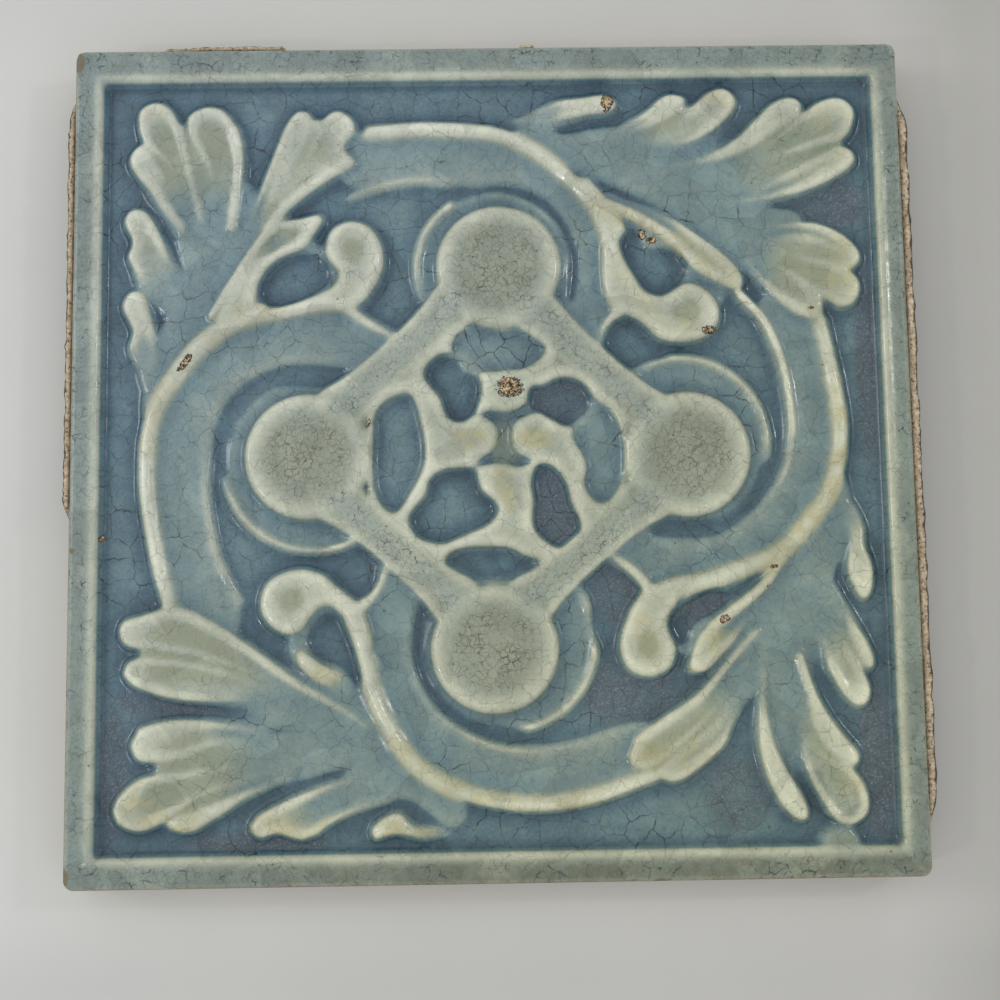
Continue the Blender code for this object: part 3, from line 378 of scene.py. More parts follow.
# Pockets: crisp hollows between the raised parts, as how far they cut down, and their outline
POCKETS = [
    (1.0, [(-30.3, 21.4), (-29.6, 23.8), (-27.8, 25.7), (-25.4, 26.7), (-22.8, 26.6), (-21.1, 25.0),
           (-21.1, 22.9), (-22.9, 21.2), (-25.8, 19.9), (-28.6, 19.5)]),
    (1.0, [(17.2, 27.6), (18.6, 29.5), (20.0, 28.6), (20.7, 27.1), (23.3, 26.9), (25.0, 25.8), (25.7, 24.0),
           (24.9, 22.2), (23.5, 21.0), (21.8, 20.7), (20.0, 21.6), (18.3, 24.0), (17.4, 26.0)]),
    (1.0, [(14.5, 14.4), (15.3, 16.3), (16.6, 17.4), (18.8, 17.1), (20.4, 15.7), (21.5, 14.2), (23.2, 13.4),
           (22.6, 12.3), (20.4, 11.7), (18.3, 10.9), (16.6, 11.7), (15.2, 13.0)]),
    (1.0, [(-24.1, -23.7), (-23.0, -21.4), (-21.6, -20.2), (-20.0, -20.8), (-18.8, -23.0), (-17.8, -25.6),
           (-17.2, -28.4), (-17.5, -30.0), (-18.8, -28.2), (-20.4, -26.9), (-22.6, -26.0)]),
    (1.0, [(-21.5, -13.8), (-20.0, -12.8), (-17.5, -12.3), (-15.9, -13.8), (-14.8, -15.6), (-15.7, -17.6),
           (-17.1, -18.4), (-18.9, -17.6), (-20.5, -15.5)]),
    (1.0, [(12.3, -18.6), (13.2, -16.2), (15.0, -15.0), (17.2, -16.2), (18.4, -18.0), (17.6, -19.6),
           (16.2, -21.4), (15.0, -24.4), (13.4, -25.4), (12.2, -22.6)]),
    (1.0, [(22.2, -22.0), (23.2, -20.5), (25.2, -19.0), (27.6, -18.1), (29.4, -18.3), (29.8, -19.6),
           (28.0, -21.0), (25.6, -22.3), (24.5, -24.6), (23.6, -25.0), (22.6, -23.8)]),
    (0.6, [(29.4, -18.2), (31.6, -17.3), (34.4, -16.2), (32.4, -18.2), (29.8, -19.6)]),
    (0.95, [(-8.8, 10.4), (-8.0, 12.0), (-6.2, 13.1), (-4.5, 12.4), (-3.2, 10.9), (-1.9, 10.2), (-1.4, 8.8),
            (-1.7, 6.6), (-2.6, 4.8), (-4.2, 4.1), (-5.6, 4.6), (-6.3, 6.0), (-6.8, 7.4), (-8.0, 8.9)]),
    (0.95, [(4.6, 7.3), (5.2, 8.6), (6.6, 8.7), (8.4, 9.6), (10.4, 9.6), (12.1, 8.6), (12.8, 7.0), (12.2, 5.2),
            (10.9, 3.9), (9.6, 3.3), (8.2, 4.0), (6.4, 5.0), (4.9, 6.0)]),
    (0.95, [(-10.9, -8.3), (-9.9, -6.7), (-8.8, -5.4), (-8.3, -3.6), (-7.2, -2.5), (-5.2, -2.0), (-2.6, -2.0),
            (-2.0, -3.4), (-1.5, -4.9), (-0.2, -6.0), (0.5, -7.2), (0.2, -8.3), (-1.2, -9.5), (-4.2, -10.8),
            (-6.2, -11.6), (-8.2, -11.4), (-10.0, -10.5)]),
    (0.95, [(5.7, -1.7), (7.3, -1.7), (8.6, -2.9), (9.5, -4.6), (10.0, -6.8), (10.9, -8.8), (11.0, -10.6),
            (10.0, -12.0), (8.4, -12.4), (6.6, -11.5), (5.2, -9.9), (5.0, -8.0), (5.2, -6.2), (4.9, -3.6)]),
    (0.58, [(-2.4, 5.0), (-0.6, 5.5), (1.4, 5.3), (3.0, 5.6), (4.6, 6.6), (5.8, 5.2), (3.6, 4.4), (2.6, 3.2),
            (2.5, 1.6), (3.1, 0.0), (5.4, -1.2), (3.4, -1.9), (1.2, -1.4), (-0.8, -1.6), (-2.8, -2.2),
            (-1.6, -0.7), (0.0, 0.3), (0.7, 1.8), (0.5, 3.2), (-0.6, 4.4)]),
    (0.68, [(-15.2, 5.0), (-14.2, 6.6), (-12.6, 7.6), (-10.8, 7.9), (-9.9, 6.6), (-9.3, 4.2), (-8.8, 1.6),
            (-8.8, -1.0), (-9.4, -3.0), (-10.6, -5.0), (-11.8, -7.0), (-13.0, -7.6), (-14.4, -6.6),
            (-15.3, -4.4), (-15.5, -1.5), (-15.4, 2.0)]),
    (0.60, [(-5.4, 13.4), (-4.4, 15.6), (-2.2, 16.4), (0.4, 16.0), (2.0, 15.8), (3.8, 16.4), (5.4, 16.0),
            (6.8, 14.6), (6.9, 13.0), (5.8, 11.8), (4.2, 11.0), (1.6, 10.7), (-0.6, 10.5), (-2.4, 10.4),
            (-4.2, 11.4)]),
    (0.54, [(11.8, 8.0), (14.6, 6.0), (16.2, 3.8), (16.9, 1.0), (16.9, -2.0), (16.2, -4.6), (14.8, -6.5),
            (13.3, -6.7), (12.1, -5.4), (11.6, -3.9), (12.0, -2.3), (11.5, -0.4), (10.4, 1.6), (10.3, 3.4),
            (11.8, 5.0)]),
    (0.74, [(-6.3, -13.8), (-5.2, -12.5), (-3.2, -12.1), (0.2, -12.1), (2.2, -12.4), (3.8, -13.3),
            (5.5, -13.9), (6.7, -14.7), (5.6, -15.9), (3.4, -16.5), (0.0, -16.4), (-3.2, -16.3),
            (-5.4, -15.3)]),
    (0.75, [(20.0, -10.2), (21.6, -9.0), (25.4, -9.1), (28.8, -8.8), (31.6, -7.2), (33.8, -4.4), (35.0, -1.4),
            (36.6, -1.8), (35.2, -5.6), (32.4, -9.0), (28.4, -11.3), (23.8, -11.5), (21.0, -11.2)]),
    (0.75, [(-10.0, -20.6), (-8.6, -21.0), (-9.0, -25.8), (-8.0, -29.6), (-5.2, -32.8), (-1.4, -34.4),
            (3.0, -35.0), (3.4, -36.8), (-1.6, -36.2), (-6.4, -33.8), (-9.4, -30.0), (-10.8, -25.4)]),
    (0.85, [(-18.4, 9.9), (-20.6, 8.9), (-25.0, 9.2), (-29.0, 8.9), (-32.2, 6.4), (-34.0, 2.6), (-34.9, -1.4),
            (-35.9, -1.4), (-35.4, 3.0), (-33.4, 7.6), (-30.0, 10.8), (-26.0, 12.1), (-21.6, 11.8)]),
    (0.70, [(-4.4, 33.0), (0.6, 34.4), (5.6, 33.0), (9.0, 29.8), (10.4, 25.6), (10.0, 20.4), (11.2, 20.4),
            (11.8, 25.8), (10.0, 31.0), (6.2, 34.6), (0.8, 35.9), (-4.2, 34.6)]),
]


def smooth_step(x, low, high):
    """0 below low, 1 above high, with a soft rise between."""
    t = np.clip((x - low) / (high - low), 0.0, 1.0)
    return t * t * (3.0 - 2.0 * t)


def higher(base, new, soft=0.06):
    """The higher of two heights, joined softly."""
    return np.maximum(base, new) + np.maximum(soft - np.abs(base - new), 0.0) ** 2 / (4.0 * soft)


def smooth_curve(points, closed=False, steps=6):
    """A smooth curve through given points."""
    if closed:
        p = np.array([points[-1], *points, points[0], points[1]], float)
    else:
        p = np.array([points[0], *points, points[-1]], float)
    curve = []
    for a, b, c, d in zip(p[:-3], p[1:-2], p[2:-1], p[3:]):
        for t in np.arange(steps) / steps:
            curve.append(0.5 * (2 * b + (c - a) * t + (2 * a - 5 * b + 4 * c - d) * t ** 2
                                + (3 * b - a - 3 * c + d) * t ** 3))
    curve.append(p[-2])
    return np.array(curve)


def arc(centre, radius, first, last, steps=24):
    """Points along an arc, angles in degrees."""
    angles = np.radians(np.linspace(first, last, steps + 1))
    return np.column_stack([centre[0] + radius * np.cos(angles), centre[1] + radius * np.sin(angles)])


def depth_inside(u, v, outline):
    """How far each point lies inside a closed outline; negative outside."""
    gap = np.full(u.shape, 99.0)
    inside = np.zeros(u.shape, bool)
    for (au, av), (bu, bv) in zip(outline[:-1], outline[1:]):
        run_u, run_v = bu - au, bv - av
        t = np.clip(((u - au) * run_u + (v - av) * run_v) / max(run_u ** 2 + run_v ** 2, 1e-9), 0, 1)
        gap = np.minimum(gap, np.hypot(u - au - t * run_u, v - av - t * run_v))
        if av != bv:
            inside ^= ((av > v) != (bv > v)) & (u < au + (v - av) * run_u / run_v)
    return np.where(inside, gap, -gap)


class Relief:
    """A grid of heights to which strokes, pads and rounds are added, each joining softly with what is there."""

    def __init__(self, u, v):
        self.u, self.v = u, v
        self.height = np.full(u.shape, GROUND)

    def window(self, points, reach):
        return ((self.u > points[:, 0].min() - reach) & (self.u < points[:, 0].max() + reach)
                & (self.v > points[:, 1].min() - reach) & (self.v < points[:, 1].max() + reach))

    def stroke(self, line, width, profile):
        """profile(across, share): height from the distance in half-widths and the share of the way."""
        n = len(line) - 1
        widths = np.broadcast_to(np.asarray(width, float), (n + 1,))
        near = self.window(line, widths.max() * 1.3)
        u, v = self.u[near], self.v[near]
        across = np.full(u.shape, 9.0)
        share = np.zeros(u.shape)
        for i in range(n):
            start, run = line[i], line[i + 1] - line[i]
            t = np.clip(((u - start[0]) * run[0] + (v - start[1]) * run[1]) / max(run @ run, 1e-9), 0, 1)
            gap = np.hypot(u - start[0] - t * run[0], v - start[1] - t * run[1])
            gap /= widths[i] + t * (widths[i + 1] - widths[i])
            closer = gap < across
            across[closer] = gap[closer]
            share[closer] = (i + t[closer]) / n
        self.height[near] = higher(self.height[near], profile(across, share))

    def pad(self, points, profile):
        """profile(depth, share): height from the depth inside the outline and the way from its first point."""
        outline = smooth_curve(points, closed=True)
        near = self.window(outline, 2.0)
        u, v = self.u[near], self.v[near]
        depth = depth_inside(u, v, outline)
        reach = np.hypot(*(outline - outline[0]).T).max()
        share = np.clip(np.hypot(u - outline[0, 0], v - outline[0, 1]) / reach, 0, 1)
        self.height[near] = higher(self.height[near], profile(depth, share))

    def cut(self, points, share):
        """Take a share of the height away inside an outline, with a crisp wall."""
        outline = smooth_curve(points, closed=True)
        near = self.window(outline, 3.0)
        depth = depth_inside(self.u[near], self.v[near], outline)
        lip = POCKET_LIP * smooth_step(self.height[near], 0.55, 0.75) * np.exp(-((depth + 0.75) / 0.6) ** 2)
        self.height[near] = np.minimum(self.height[near] + lip, np.maximum(self.height[near], 0.94))
        self.height[near] *= 1 - share * smooth_step(depth, -0.35 * POCKET_SLOPE, 0.65 * POCKET_SLOPE)

    def round(self, centre, radius, profile):
        """profile(distance): height from the distance in radii; radius may differ along u and v."""
        ru, rv = radius if isinstance(radius, tuple) else (radius, radius)
        distance = np.hypot((self.u - centre[0]) / ru, (self.v - centre[1]) / rv)
        self.height = higher(self.height, profile(distance))


def rounded(across):
    return np.maximum(1 - across ** 2, -1)


def add_lands(relief):
    def land(depth, share):
        return WEB * smooth_step(depth, -0.4 * LAND_SLOPE, 0.6 * LAND_SLOPE)

    for points in LANDS:
        relief.pad(points, land)
    for points in RAMPS:
        relief.stroke(smooth_curve(points), RAMP_HALF_WIDTH,
                      lambda across, share: WEB * smooth_step(share, 1.0, 0.35) * (1 - smooth_step(across, 0.7, 1.1)))


def add_channels(relief):
    for stem in STEMS.values():
        relief.stroke(smooth_curve(stem["channel"]), CHANNEL_HALF_WIDTH,
                      lambda across, share: CHANNEL * (1 - smooth_step(across, 0.84, 1.08))
                      - 0.05 * np.maximum(1 - across ** 2, 0))


def add_rings(relief):
    for centre, collar_centre, radius, first, last in DISCS.values():
        relief.round(centre, RING_RADIUS, lambda distance: LENS * (1 - smooth_step(distance, 0.93, 1.05)))
        relief.stroke(arc(collar_centre, radius - 1.4, first, last), 1.6,
                      lambda across, share: LENS * (1 - smooth_step(across, 0.75, 1.1)))
        relief.stroke(arc(collar_centre, radius, first, last), COLLAR_HALF_WIDTH,
                      lambda across, share: COLLAR * rounded(across)
                      * (0.75 + 0.25 * smooth_step(share, 0, 0.12) * (1 - smooth_step(share, 0.88, 1))))


def add_leaves(relief):
    for height, points in BODIES:
        relief.pad(points, lambda depth, share: (WEB + (height - WEB) * smooth_step(share, 0.1, 0.7))
                   * smooth_step(depth, -0.4 * LAND_SLOPE, LAND_SLOPE))
    for blades in BLADES.values():
        for hollow, points in blades:
            def blade(depth, share, hollow=hollow):
                level = 0.44 + 0.54 * smooth_step(share, 0.10, 0.80)
                rise = smooth_step(depth, -0.35 * PAD_SLOPE, 0.75 * PAD_SLOPE)
                dish = (0.06 + 0.95 * hollow) * smooth_step(depth, 0.45 * PAD_RIM, 1.4 * PAD_RIM)
                return level * rise - dish * (0.60 + 0.40 * smooth_step(share, 1.0, 0.7)) * smooth_step(share, 0, 0.3)

            relief.pad(points, blade)
    for veins in VEINS.values():
        for points, width, first, last in veins:
            relief.stroke(smooth_curve(points), width,
                          lambda across, share: (first + (last - first) * share) * rounded(across))


def add_stems(relief):
    for stem in STEMS.values():
        below = relief.height.copy()
        relief.stroke(smooth_curve(stem["outer"]), SHOULDER_HALF_WIDTH,
                      lambda across, share: SHOULDER * rounded(across))
        relief.height = np.where(below > 0.7 * WEB, relief.height, below)
        relief.stroke(smooth_curve(stem["outer"]), CREST_HALF_WIDTH,
                      lambda across, share: CREST * rounded(across) * (0.82 + 0.18 * smooth_step(share, 0, 0.15)))
        relief.stroke(smooth_curve(stem["inner"]), INNER_CREST_HALF_WIDTH,
                      lambda across, share: 0.66 * rounded(across)
                      * (0.6 + 0.4 * smooth_step(share, 0, 0.3) * (1 - smooth_step(share, 0.7, 1))))
        relief.stroke(smooth_curve(stem["tie"]), TIE_HALF_WIDTH,
                      lambda across, share: (0.85 - 0.2 * share) * rounded(across))
        relief.pad(stem["comma"], lambda depth, share: CREST * smooth_step(depth, -0.4 * PAD_SLOPE, 0.8 * PAD_SLOPE)
                   - 0.05 * smooth_step(depth, 0.9 * PAD_RIM, 1.6 * PAD_RIM))
        distance = np.hypot(relief.u - stem["hollow"][0], relief.v - stem["hollow"][1])
        relief.height -= DISH * (1 - smooth_step(distance, 0.8, 3.2))


def add_bars_and_discs(relief):
    for ends in BARS:
        line = np.array([np.array(ends[0]) + (np.array(ends[1]) - np.array(ends[0])) * t
                         for t in np.linspace(0, 1, 9)])
        flare = BAR_FLARE * np.abs(np.linspace(-1, 1, 9)) ** 3
        relief.stroke(line, BAR_HALF_WIDTH + flare,
                      lambda across, share: BAR * (1 - smooth_step(across, 0.76, 1.08))
                      - 0.10 * (1 - smooth_step(across, 0.50, 0.82)))
    dish = DISC_DISH_RADIUS / DISC_RADIUS
    for centre, *_ in DISCS.values():
        relief.round(centre, DISC_RADIUS,
                     lambda distance: CREST * (1 - smooth_step(distance, 0.91, 1.05))
                     - DISH * (1 - smooth_step(distance, 0.55 * dish, 1.05 * dish)))


def add_whirl(relief):
    relief.pad(WHIRL_LAND, lambda depth, share: ARM * smooth_step(depth, -0.4 * LAND_SLOPE, 0.6 * LAND_SLOPE))
    for centre in BEADS:
        relief.round(centre, BEAD_RADIUS, lambda distance: CREST * (1 - distance ** 4)
                     - BEAD_DISH * (1 - smooth_step(distance, 0.1, 0.7)))


def add_rim(relief):
    u, v = relief.u, relief.v
    past = np.maximum.reduce([-u - RIM_INNER["left"], u - RIM_INNER["right"],
                              -v - RIM_INNER["bottom"], v - RIM_INNER["top"]])
    (bulge_u, bulge_v), bulge_radius = RIM_BULGE
    bulge = 0.55 * (bulge_radius - np.hypot(u - bulge_u, v - bulge_v)) - 0.3
    past = np.maximum(past, np.minimum(bulge, 0.22 * RIM_SLOPE))
    rise = smooth_step(past, -0.35 * RIM_SLOPE, 0.65 * RIM_SLOPE)
    fall = (CREST - RIM_BAND) * smooth_step(past, RIM_CREST, RIM_CREST + RIM_SLOPE)
    relief.height = higher(relief.height, rise * (CREST - fall))


def relief_heights(u, v):
    """Shares of the relief's depth at grids u and v of design coordinates."""
    relief = Relief(u, v)
    add_lands(relief)
    add_channels(relief)
    add_rings(relief)
    add_leaves(relief)
    add_stems(relief)
    add_whirl(relief)
    for share, points in POCKETS:
        relief.cut(points, share)
    add_bars_and_discs(relief)
    add_rim(relief)
    return relief.height


# What time did to the glaze: chips as centre, half-length, half-width and turn in degrees
CHIPS = [
    (2.3, 8.5, 1.75, 1.4, 0),
    (-39.6, 12.2, 1.5, 0.5, 52),
    (15.8, 46.7, 1.4, 0.9, 80),
    (20.0, 28.8, 0.8, 0.5, -60),
    (21.2, 27.9, 0.7, 0.5, 0),
    (28.3, 15.7, 1.15, 0.5, 8),
    (29.2, -21.8, 0.75, 0.55, 20),
    (35.7, -15.2, 0.6, 0.28, 10),
    (35.0, -17.7, 0.5, 0.26, -30),
    (41.8, 18.5, 0.45, 0.25, 0),
    (-50.2, -10.3, 0.6, 0.35, 60),
    (-16.0, 4.0, 0.7, 0.3, 70),
]
# Places where an edge of the tile is worn down to the clay: centre and half-axes
WORN = [(-54.0, 52.6, 0.9, 1.6), (-54.2, -52.9, 0.8, 1.4), (-53.8, -12.0, 0.4, 0.5), (20.0, -54.2, 1.5, 0.3)]
# Where the thickest glaze went matt and violet: centre and half-axes
VIOLET_POOLS = [
    (45.0, 32.5, 5.5, 3.6), (8.0, -7.0, 3.2, 5.6), (15.4, -18.4, 3.4, 4.4), (-41.0, -31.0, 8.5, 2.6),
    (8.6, 7.2, 4.0, 3.6), (26.0, -20.0, 4.4, 2.6), (48.4, -40, 2.6, 11.0), (-48.4, -40, 2.0, 9.0),
    (-30, -48.8, 10.0, 1.5), (17, -31, 7.0, 5.0), (30.5, -44, 4.6, 5.0), (49.0, 10.0, 1.6, 14.0),
]
# Warm ochre along the crests: points, half-width and strength
OCHRE_STREAKS = [
    ([(44.6, 9), (45.2, 2), (43.7, -4.8), (40.4, -9.6), (36.4, -13.4)], 2.0, 1.0),
    ([(-12.5, -37), (-9, -40.5), (-2, -43.9), (5, -44.8), (12, -43.8)], 1.8, 0.8),
    ([(14, 32.4), (19, 30.4), (24, 27.4), (31, 22.6)], 2.4, 0.8),
    ([(-36, 15.5), (-33, 18.2), (-28, 19.2)], 1.8, 0.7),
    ([(-44.5, 1), (-43.8, 6.0), (-41.5, 9.6)], 1.6, 0.6),
    ([(-46.5, -42), (-44, -45.6), (-39, -46.2)], 2.6, 0.9),
    ([(-30, -46.6), (-25, -47.2), (-22, -46.6)], 2.2, 0.9),
    ([(-14, -47.4), (-9, -47.6)], 1.6, 1.0),
    ([(18.6, -38.4), (21.6, -39.6), (25, -38.6)], 2.4, 0.8),
    ([(31, -18.6), (34, -16.2), (37, -13.2)], 1.6, 0.9),
    ([(44, -44.6), (45.4, -42.0)], 2.0, 0.6),
    ([(46, 27), (46, 22), (43, 18.6)], 2.6, 0.8),
    ([(44, 45), (47, 43), (46.6, 39.6)], 2.2, 0.5),
    ([(-25, -26.4), (-21, -28.6)], 1.8, 0.8),
    ([(25.4, -27.6), (29, -23.0)], 1.8, 0.8),
    ([(17, 24), (22, 17), (26, 16)], 2.0, 0.5),
    ([(20, -27), (18.6, -22)], 2.2, 0.5),
    ([(-46, 46), (-43, 46)], 1.8, 0.5),
    ([(29, 47.6), (32, 46.4)], 1.8, 0.6),
    ([(-4.2, 1.8), (-1.9, 1.8)], 1.7, 1.0),
    ([(4.2, 1.9), (6.6, 1.6)], 1.7, 1.0),
    ([(0.9, -3.2), (2.4, -6.8)], 1.5, 1.0),
]
# Where the glaze is olive: the beads' tops and the groove between them
OLIVE_SPOTS = [(-3.0, 1.8, 2.3, 1.8), (5.3, 1.8, 2.1, 1.9), (1.3, -4.2, 1.8, 2.6), (1.6, 1.0, 2.6, 4.6)]
# Where a sharp glint of the window sits on the glaze
GLINTS = [(-34, -5, 2.4, 0.35, 80), (-9.2, 1.0, 2.4, 0.35, 0), (29.4, 17.2, 1.4, 0.4, 60), (17.2, 20.2, 1.8, 0.5, 0),
          (-15.4, -16.0, 1.0, 0.5, 70), (-9.2, -26.4, 1.0, 0.4, 0), (-30.4, -21.4, 1.0, 0.4, 0),
          (-29.8, -12.2, 2.0, 0.3, 0), (33.2, -39.0, 0.6, 0.3, 80), (0.2, -7.6, 1.4, 0.3, -10)]


def clear_selection():
    bpy.ops.object.select_all(action="DESELECT")


def settle(piece):
    """Put a finished piece at the origin, with its place in its mesh."""
    clear_selection()
    piece.select_set(True)
    bpy.context.view_layer.objects.active = piece
    bpy.ops.object.transform_apply(location=True, rotation=True, scale=True)
    piece.select_set(False)


def softened(grid, reach):
    """A grid blurred over a reach in metres, its edges carried outwards."""
    pad = 44
    wide = np.pad(grid, pad, mode="edge")
    tones = [np.exp(-2 * (math.pi * reach / CELL * np.fft.fftfreq(n)) ** 2) for n in wide.shape]
    blurred = np.fft.ifft2(np.fft.fft2(wide) * tones[0][:, None] * tones[1][None, :]).real
    return blurred[pad:-pad, pad:-pad]


def mottle(shape, reach, seed):
    """Soft random mottling with mean 0 and spread 1, the same each time."""
    spots = softened(np.random.default_rng(seed).standard_normal(shape), reach)
    return spots / spots.std()


def patches(u, v, places):
    """How far inside the nearest of some turned ellipses each point lies: 1 at its middle, 0 at its edge."""
    inside = np.full(u.shape, -1.0)
    for cu, cv, half_u, half_v, *turn in places:
        angle = math.radians(turn[0]) if turn else 0.0
        c, s = math.cos(angle), math.sin(angle)
        along = ((u - cu) * c + (v - cv) * s) / half_u
        across = ((v - cv) * c - (u - cu) * s) / half_v
        inside = np.maximum(inside, 1 - np.hypot(along, across))
    return inside


def ochre_field(u, v):
    """Soft warm bands along some of the crests."""
    warm = Relief(u, v)
    warm.height[:] = 0.0
    for points, width, strength in OCHRE_STREAKS:
        warm.stroke(smooth_curve(points), width, lambda across, share: strength * np.maximum(1 - across ** 2, 0))
    return np.clip(warm.height, 0, 1)


def dense_fields(u, v):
    """Where the glaze is grey and finely crazed: the discs' dished middles, the bars and the rim's band."""
    dense = np.zeros(u.shape)
    for centre, *_ in DISCS.values():
        distance = np.hypot(u - centre[0], v - centre[1])
        dense = np.maximum(dense, 1 - smooth_step(distance, 4.0, 7.0))
    bars = Relief(u, v)
    bars.height[:] = 0.0
    for ends in BARS:
        bars.stroke(np.array(ends), 2.4, lambda across, share: 1 - smooth_step(across, 0.2, 1.0))
    past = np.maximum.reduce([-u - RIM_INNER["left"], u - RIM_INNER["right"],
                              -v - RIM_INNER["bottom"], v - RIM_INNER["top"]])
    band = smooth_step(past, 0.5, 2.3)
    beside_rim = smooth_step(past, -2.6, -0.8) * smooth_step(past, 0.2, -0.6)
    return dense, np.clip(bars.height, 0, 1) * (1 - dense), band, smooth_step(past, -0.6, 0.4), beside_rim


def face_fields():
    """All that varies over the glazed face, as grids of FACE_CELLS + 1 points a side."""
    line = np.linspace(-HALF_SIDE, HALF_SIDE, FACE_CELLS + 1)
    unit = 2 * (HALF_SIDE - RIM_WIDTH) / PANEL
    u, v = np.meshgrid(line / unit, line / unit)
    clay = relief_heights(u, v)
    soft = softened(clay, GLAZE_SOFTNESS)
    foot = softened(clay, CREASE_REACH) - soft
    dense, bars, band, rim, beside_rim = dense_fields(u, v)
    tone = sum(weight * softened(clay, reach) for reach, weight in RUN_OFF) - 0.14 * rim
    tone += 0.14 * beside_rim * smooth_step(soft, 0.40, 0.18)
    chip = patches(u, v, CHIPS)
    hollow = smooth_step(softened(clay, 0.0022) - soft, -0.07, 0.02) * smooth_step(soft, 0.50, 0.68)
    hollow *= smooth_step(np.hypot(u - 0.6, v), 12.0, 15.0)
    edge = np.clip((ARRIS_RADIUS - (HALF_SIDE - np.maximum(np.abs(u), np.abs(v)) * unit)) / ARRIS_RADIUS, 0, 1)
    arris = ARRIS_RADIUS * (1 - np.sqrt(1 - edge ** 2))
    ripple = GLAZE_RIPPLE * np.clip(mottle(u.shape, 0.0011, 5), -2, 2) * (1 - edge)
    pit = CHIP_DEPTH * smooth_step(chip, 0.0, 0.5) * (1 + 0.35 * mottle(u.shape, 0.0005, 7))
    height = np.minimum(GROUND_LEVEL + RELIEF_DEPTH * soft + ripple - pit, FACE_TOP) - arris
    return {"height": height, "tone": tone, "level": soft, "foot": smooth_step(foot, 0.02, 0.09) * smooth_step(soft, 0.72, 0.30),
            "olive": np.maximum(hollow * (1 - dense) * (1 - bars) * (1 - band),
                                0.7 * smooth_step(patches(u, v, OLIVE_SPOTS), 0.0, 0.6)), "chip": chip,
            "violet": smooth_step(patches(u, v, VIOLET_POOLS), -0.15, 0.35) * smooth_step(soft, 0.34, 0.16),
            "ochre": ochre_field(u, v), "dense": dense, "bars": bars, "band": band, "arris": edge,
            "worn": patches(u, v, WORN), "glint": smooth_step(patches(u, v, GLINTS), 0.0, 0.4)}


def rounded_corner(x, y):
    """Pull points in the corner squares onto quarter discs, so that the tile's corners are round."""
    start = HALF_SIDE - CORNER_RADIUS
    a = np.maximum(np.abs(x) - start, 0) / CORNER_RADIUS
    b = np.maximum(np.abs(y) - start, 0) / CORNER_RADIUS
    new_x = np.where(a > 0, np.sign(x) * (start + CORNER_RADIUS * a * np.sqrt(1 - b ** 2 / 2)), x)
    new_y = np.where(b > 0, np.sign(y) * (start + CORNER_RADIUS * b * np.sqrt(1 - a ** 2 / 2)), y)
    return new_x, new_y


def pick_faces(piece, wanted):
    """Select in edit mode the faces that a test picks."""
    bpy.ops.mesh.select_all(action="DESELECT")
    bpy.ops.mesh.select_mode(type="FACE")
    shape = bmesh.from_edit_mesh(piece.data)
    for face in shape.faces:
        face.select_set(wanted(face))
    shape.select_flush_mode()
    bmesh.update_edit_mesh(piece.data)


def cut_keys(piece):
    """Cut the back's face along the grooves' outlines and press the grooves in."""
    def is_back(face):
        return face.normal.z < -0.9 and face.calc_center_median().z < KEY_DEPTH / 4

    half_length = HALF_SIDE - KEY_MARGIN
    each_side = int((half_length - KEY_WIDTH / 2) / KEY_PITCH + 0.5)
    middles = [side * (k + 0.5) * KEY_PITCH for side in (-1, 1) for k in range(each_side)]
    cuts = [((x + edge * KEY_WIDTH / 2, 0, 0), (1, 0, 0)) for x in middles for edge in (-1, 1)]
    cuts += [((0, y, 0), (0, 1, 0)) for y in (-half_length, half_length)]
    for place, normal in cuts:
        pick_faces(piece, is_back)
        bpy.ops.mesh.bisect(plane_co=place, plane_no=normal)

    def is_groove(face):
        middle = face.calc_center_median()
        inside = any(abs(middle.x - x) < KEY_WIDTH / 2 for x in middles)
        return is_back(face) and inside and abs(middle.y) < half_length

    pick_faces(piece, is_groove)
    bpy.ops.mesh.inset(thickness=KEY_DRAFT, depth=-KEY_DEPTH)


def make_tile():
    """The tile: a fine grid for the face, drawn down to the back, with the relief and the glaze's masks."""
    clear_selection()
    bpy.ops.mesh.primitive_grid_add(x_subdivisions=FACE_CELLS, y_subdivisions=FACE_CELLS,
                                    size=2 * HALF_SIDE, location=(0, 0, FACE_TOP))
    tile = bpy.context.active_object
    tile.name = "glazed_tile"
    settle(tile)
    bpy.context.view_layer.objects.active = tile
    bpy.ops.object.mode_set(mode="EDIT")
    bpy.ops.mesh.select_all(action="SELECT")
    bpy.ops.mesh.region_to_loop()
    for drop in (*SIDE_STEPS, FACE_TOP - sum(SIDE_STEPS)):
        bpy.ops.mesh.extrude_edges_move(TRANSFORM_OT_translate={"value": (0, 0, -drop)})
    bpy.ops.mesh.edge_face_add()
    bpy.ops.mesh.select_all(action="SELECT")
    bpy.ops.mesh.normals_make_consistent(inside=False)
    cut_keys(tile)
    bpy.ops.object.mode_set(mode="OBJECT")
    shape_tile(tile)
    return tile


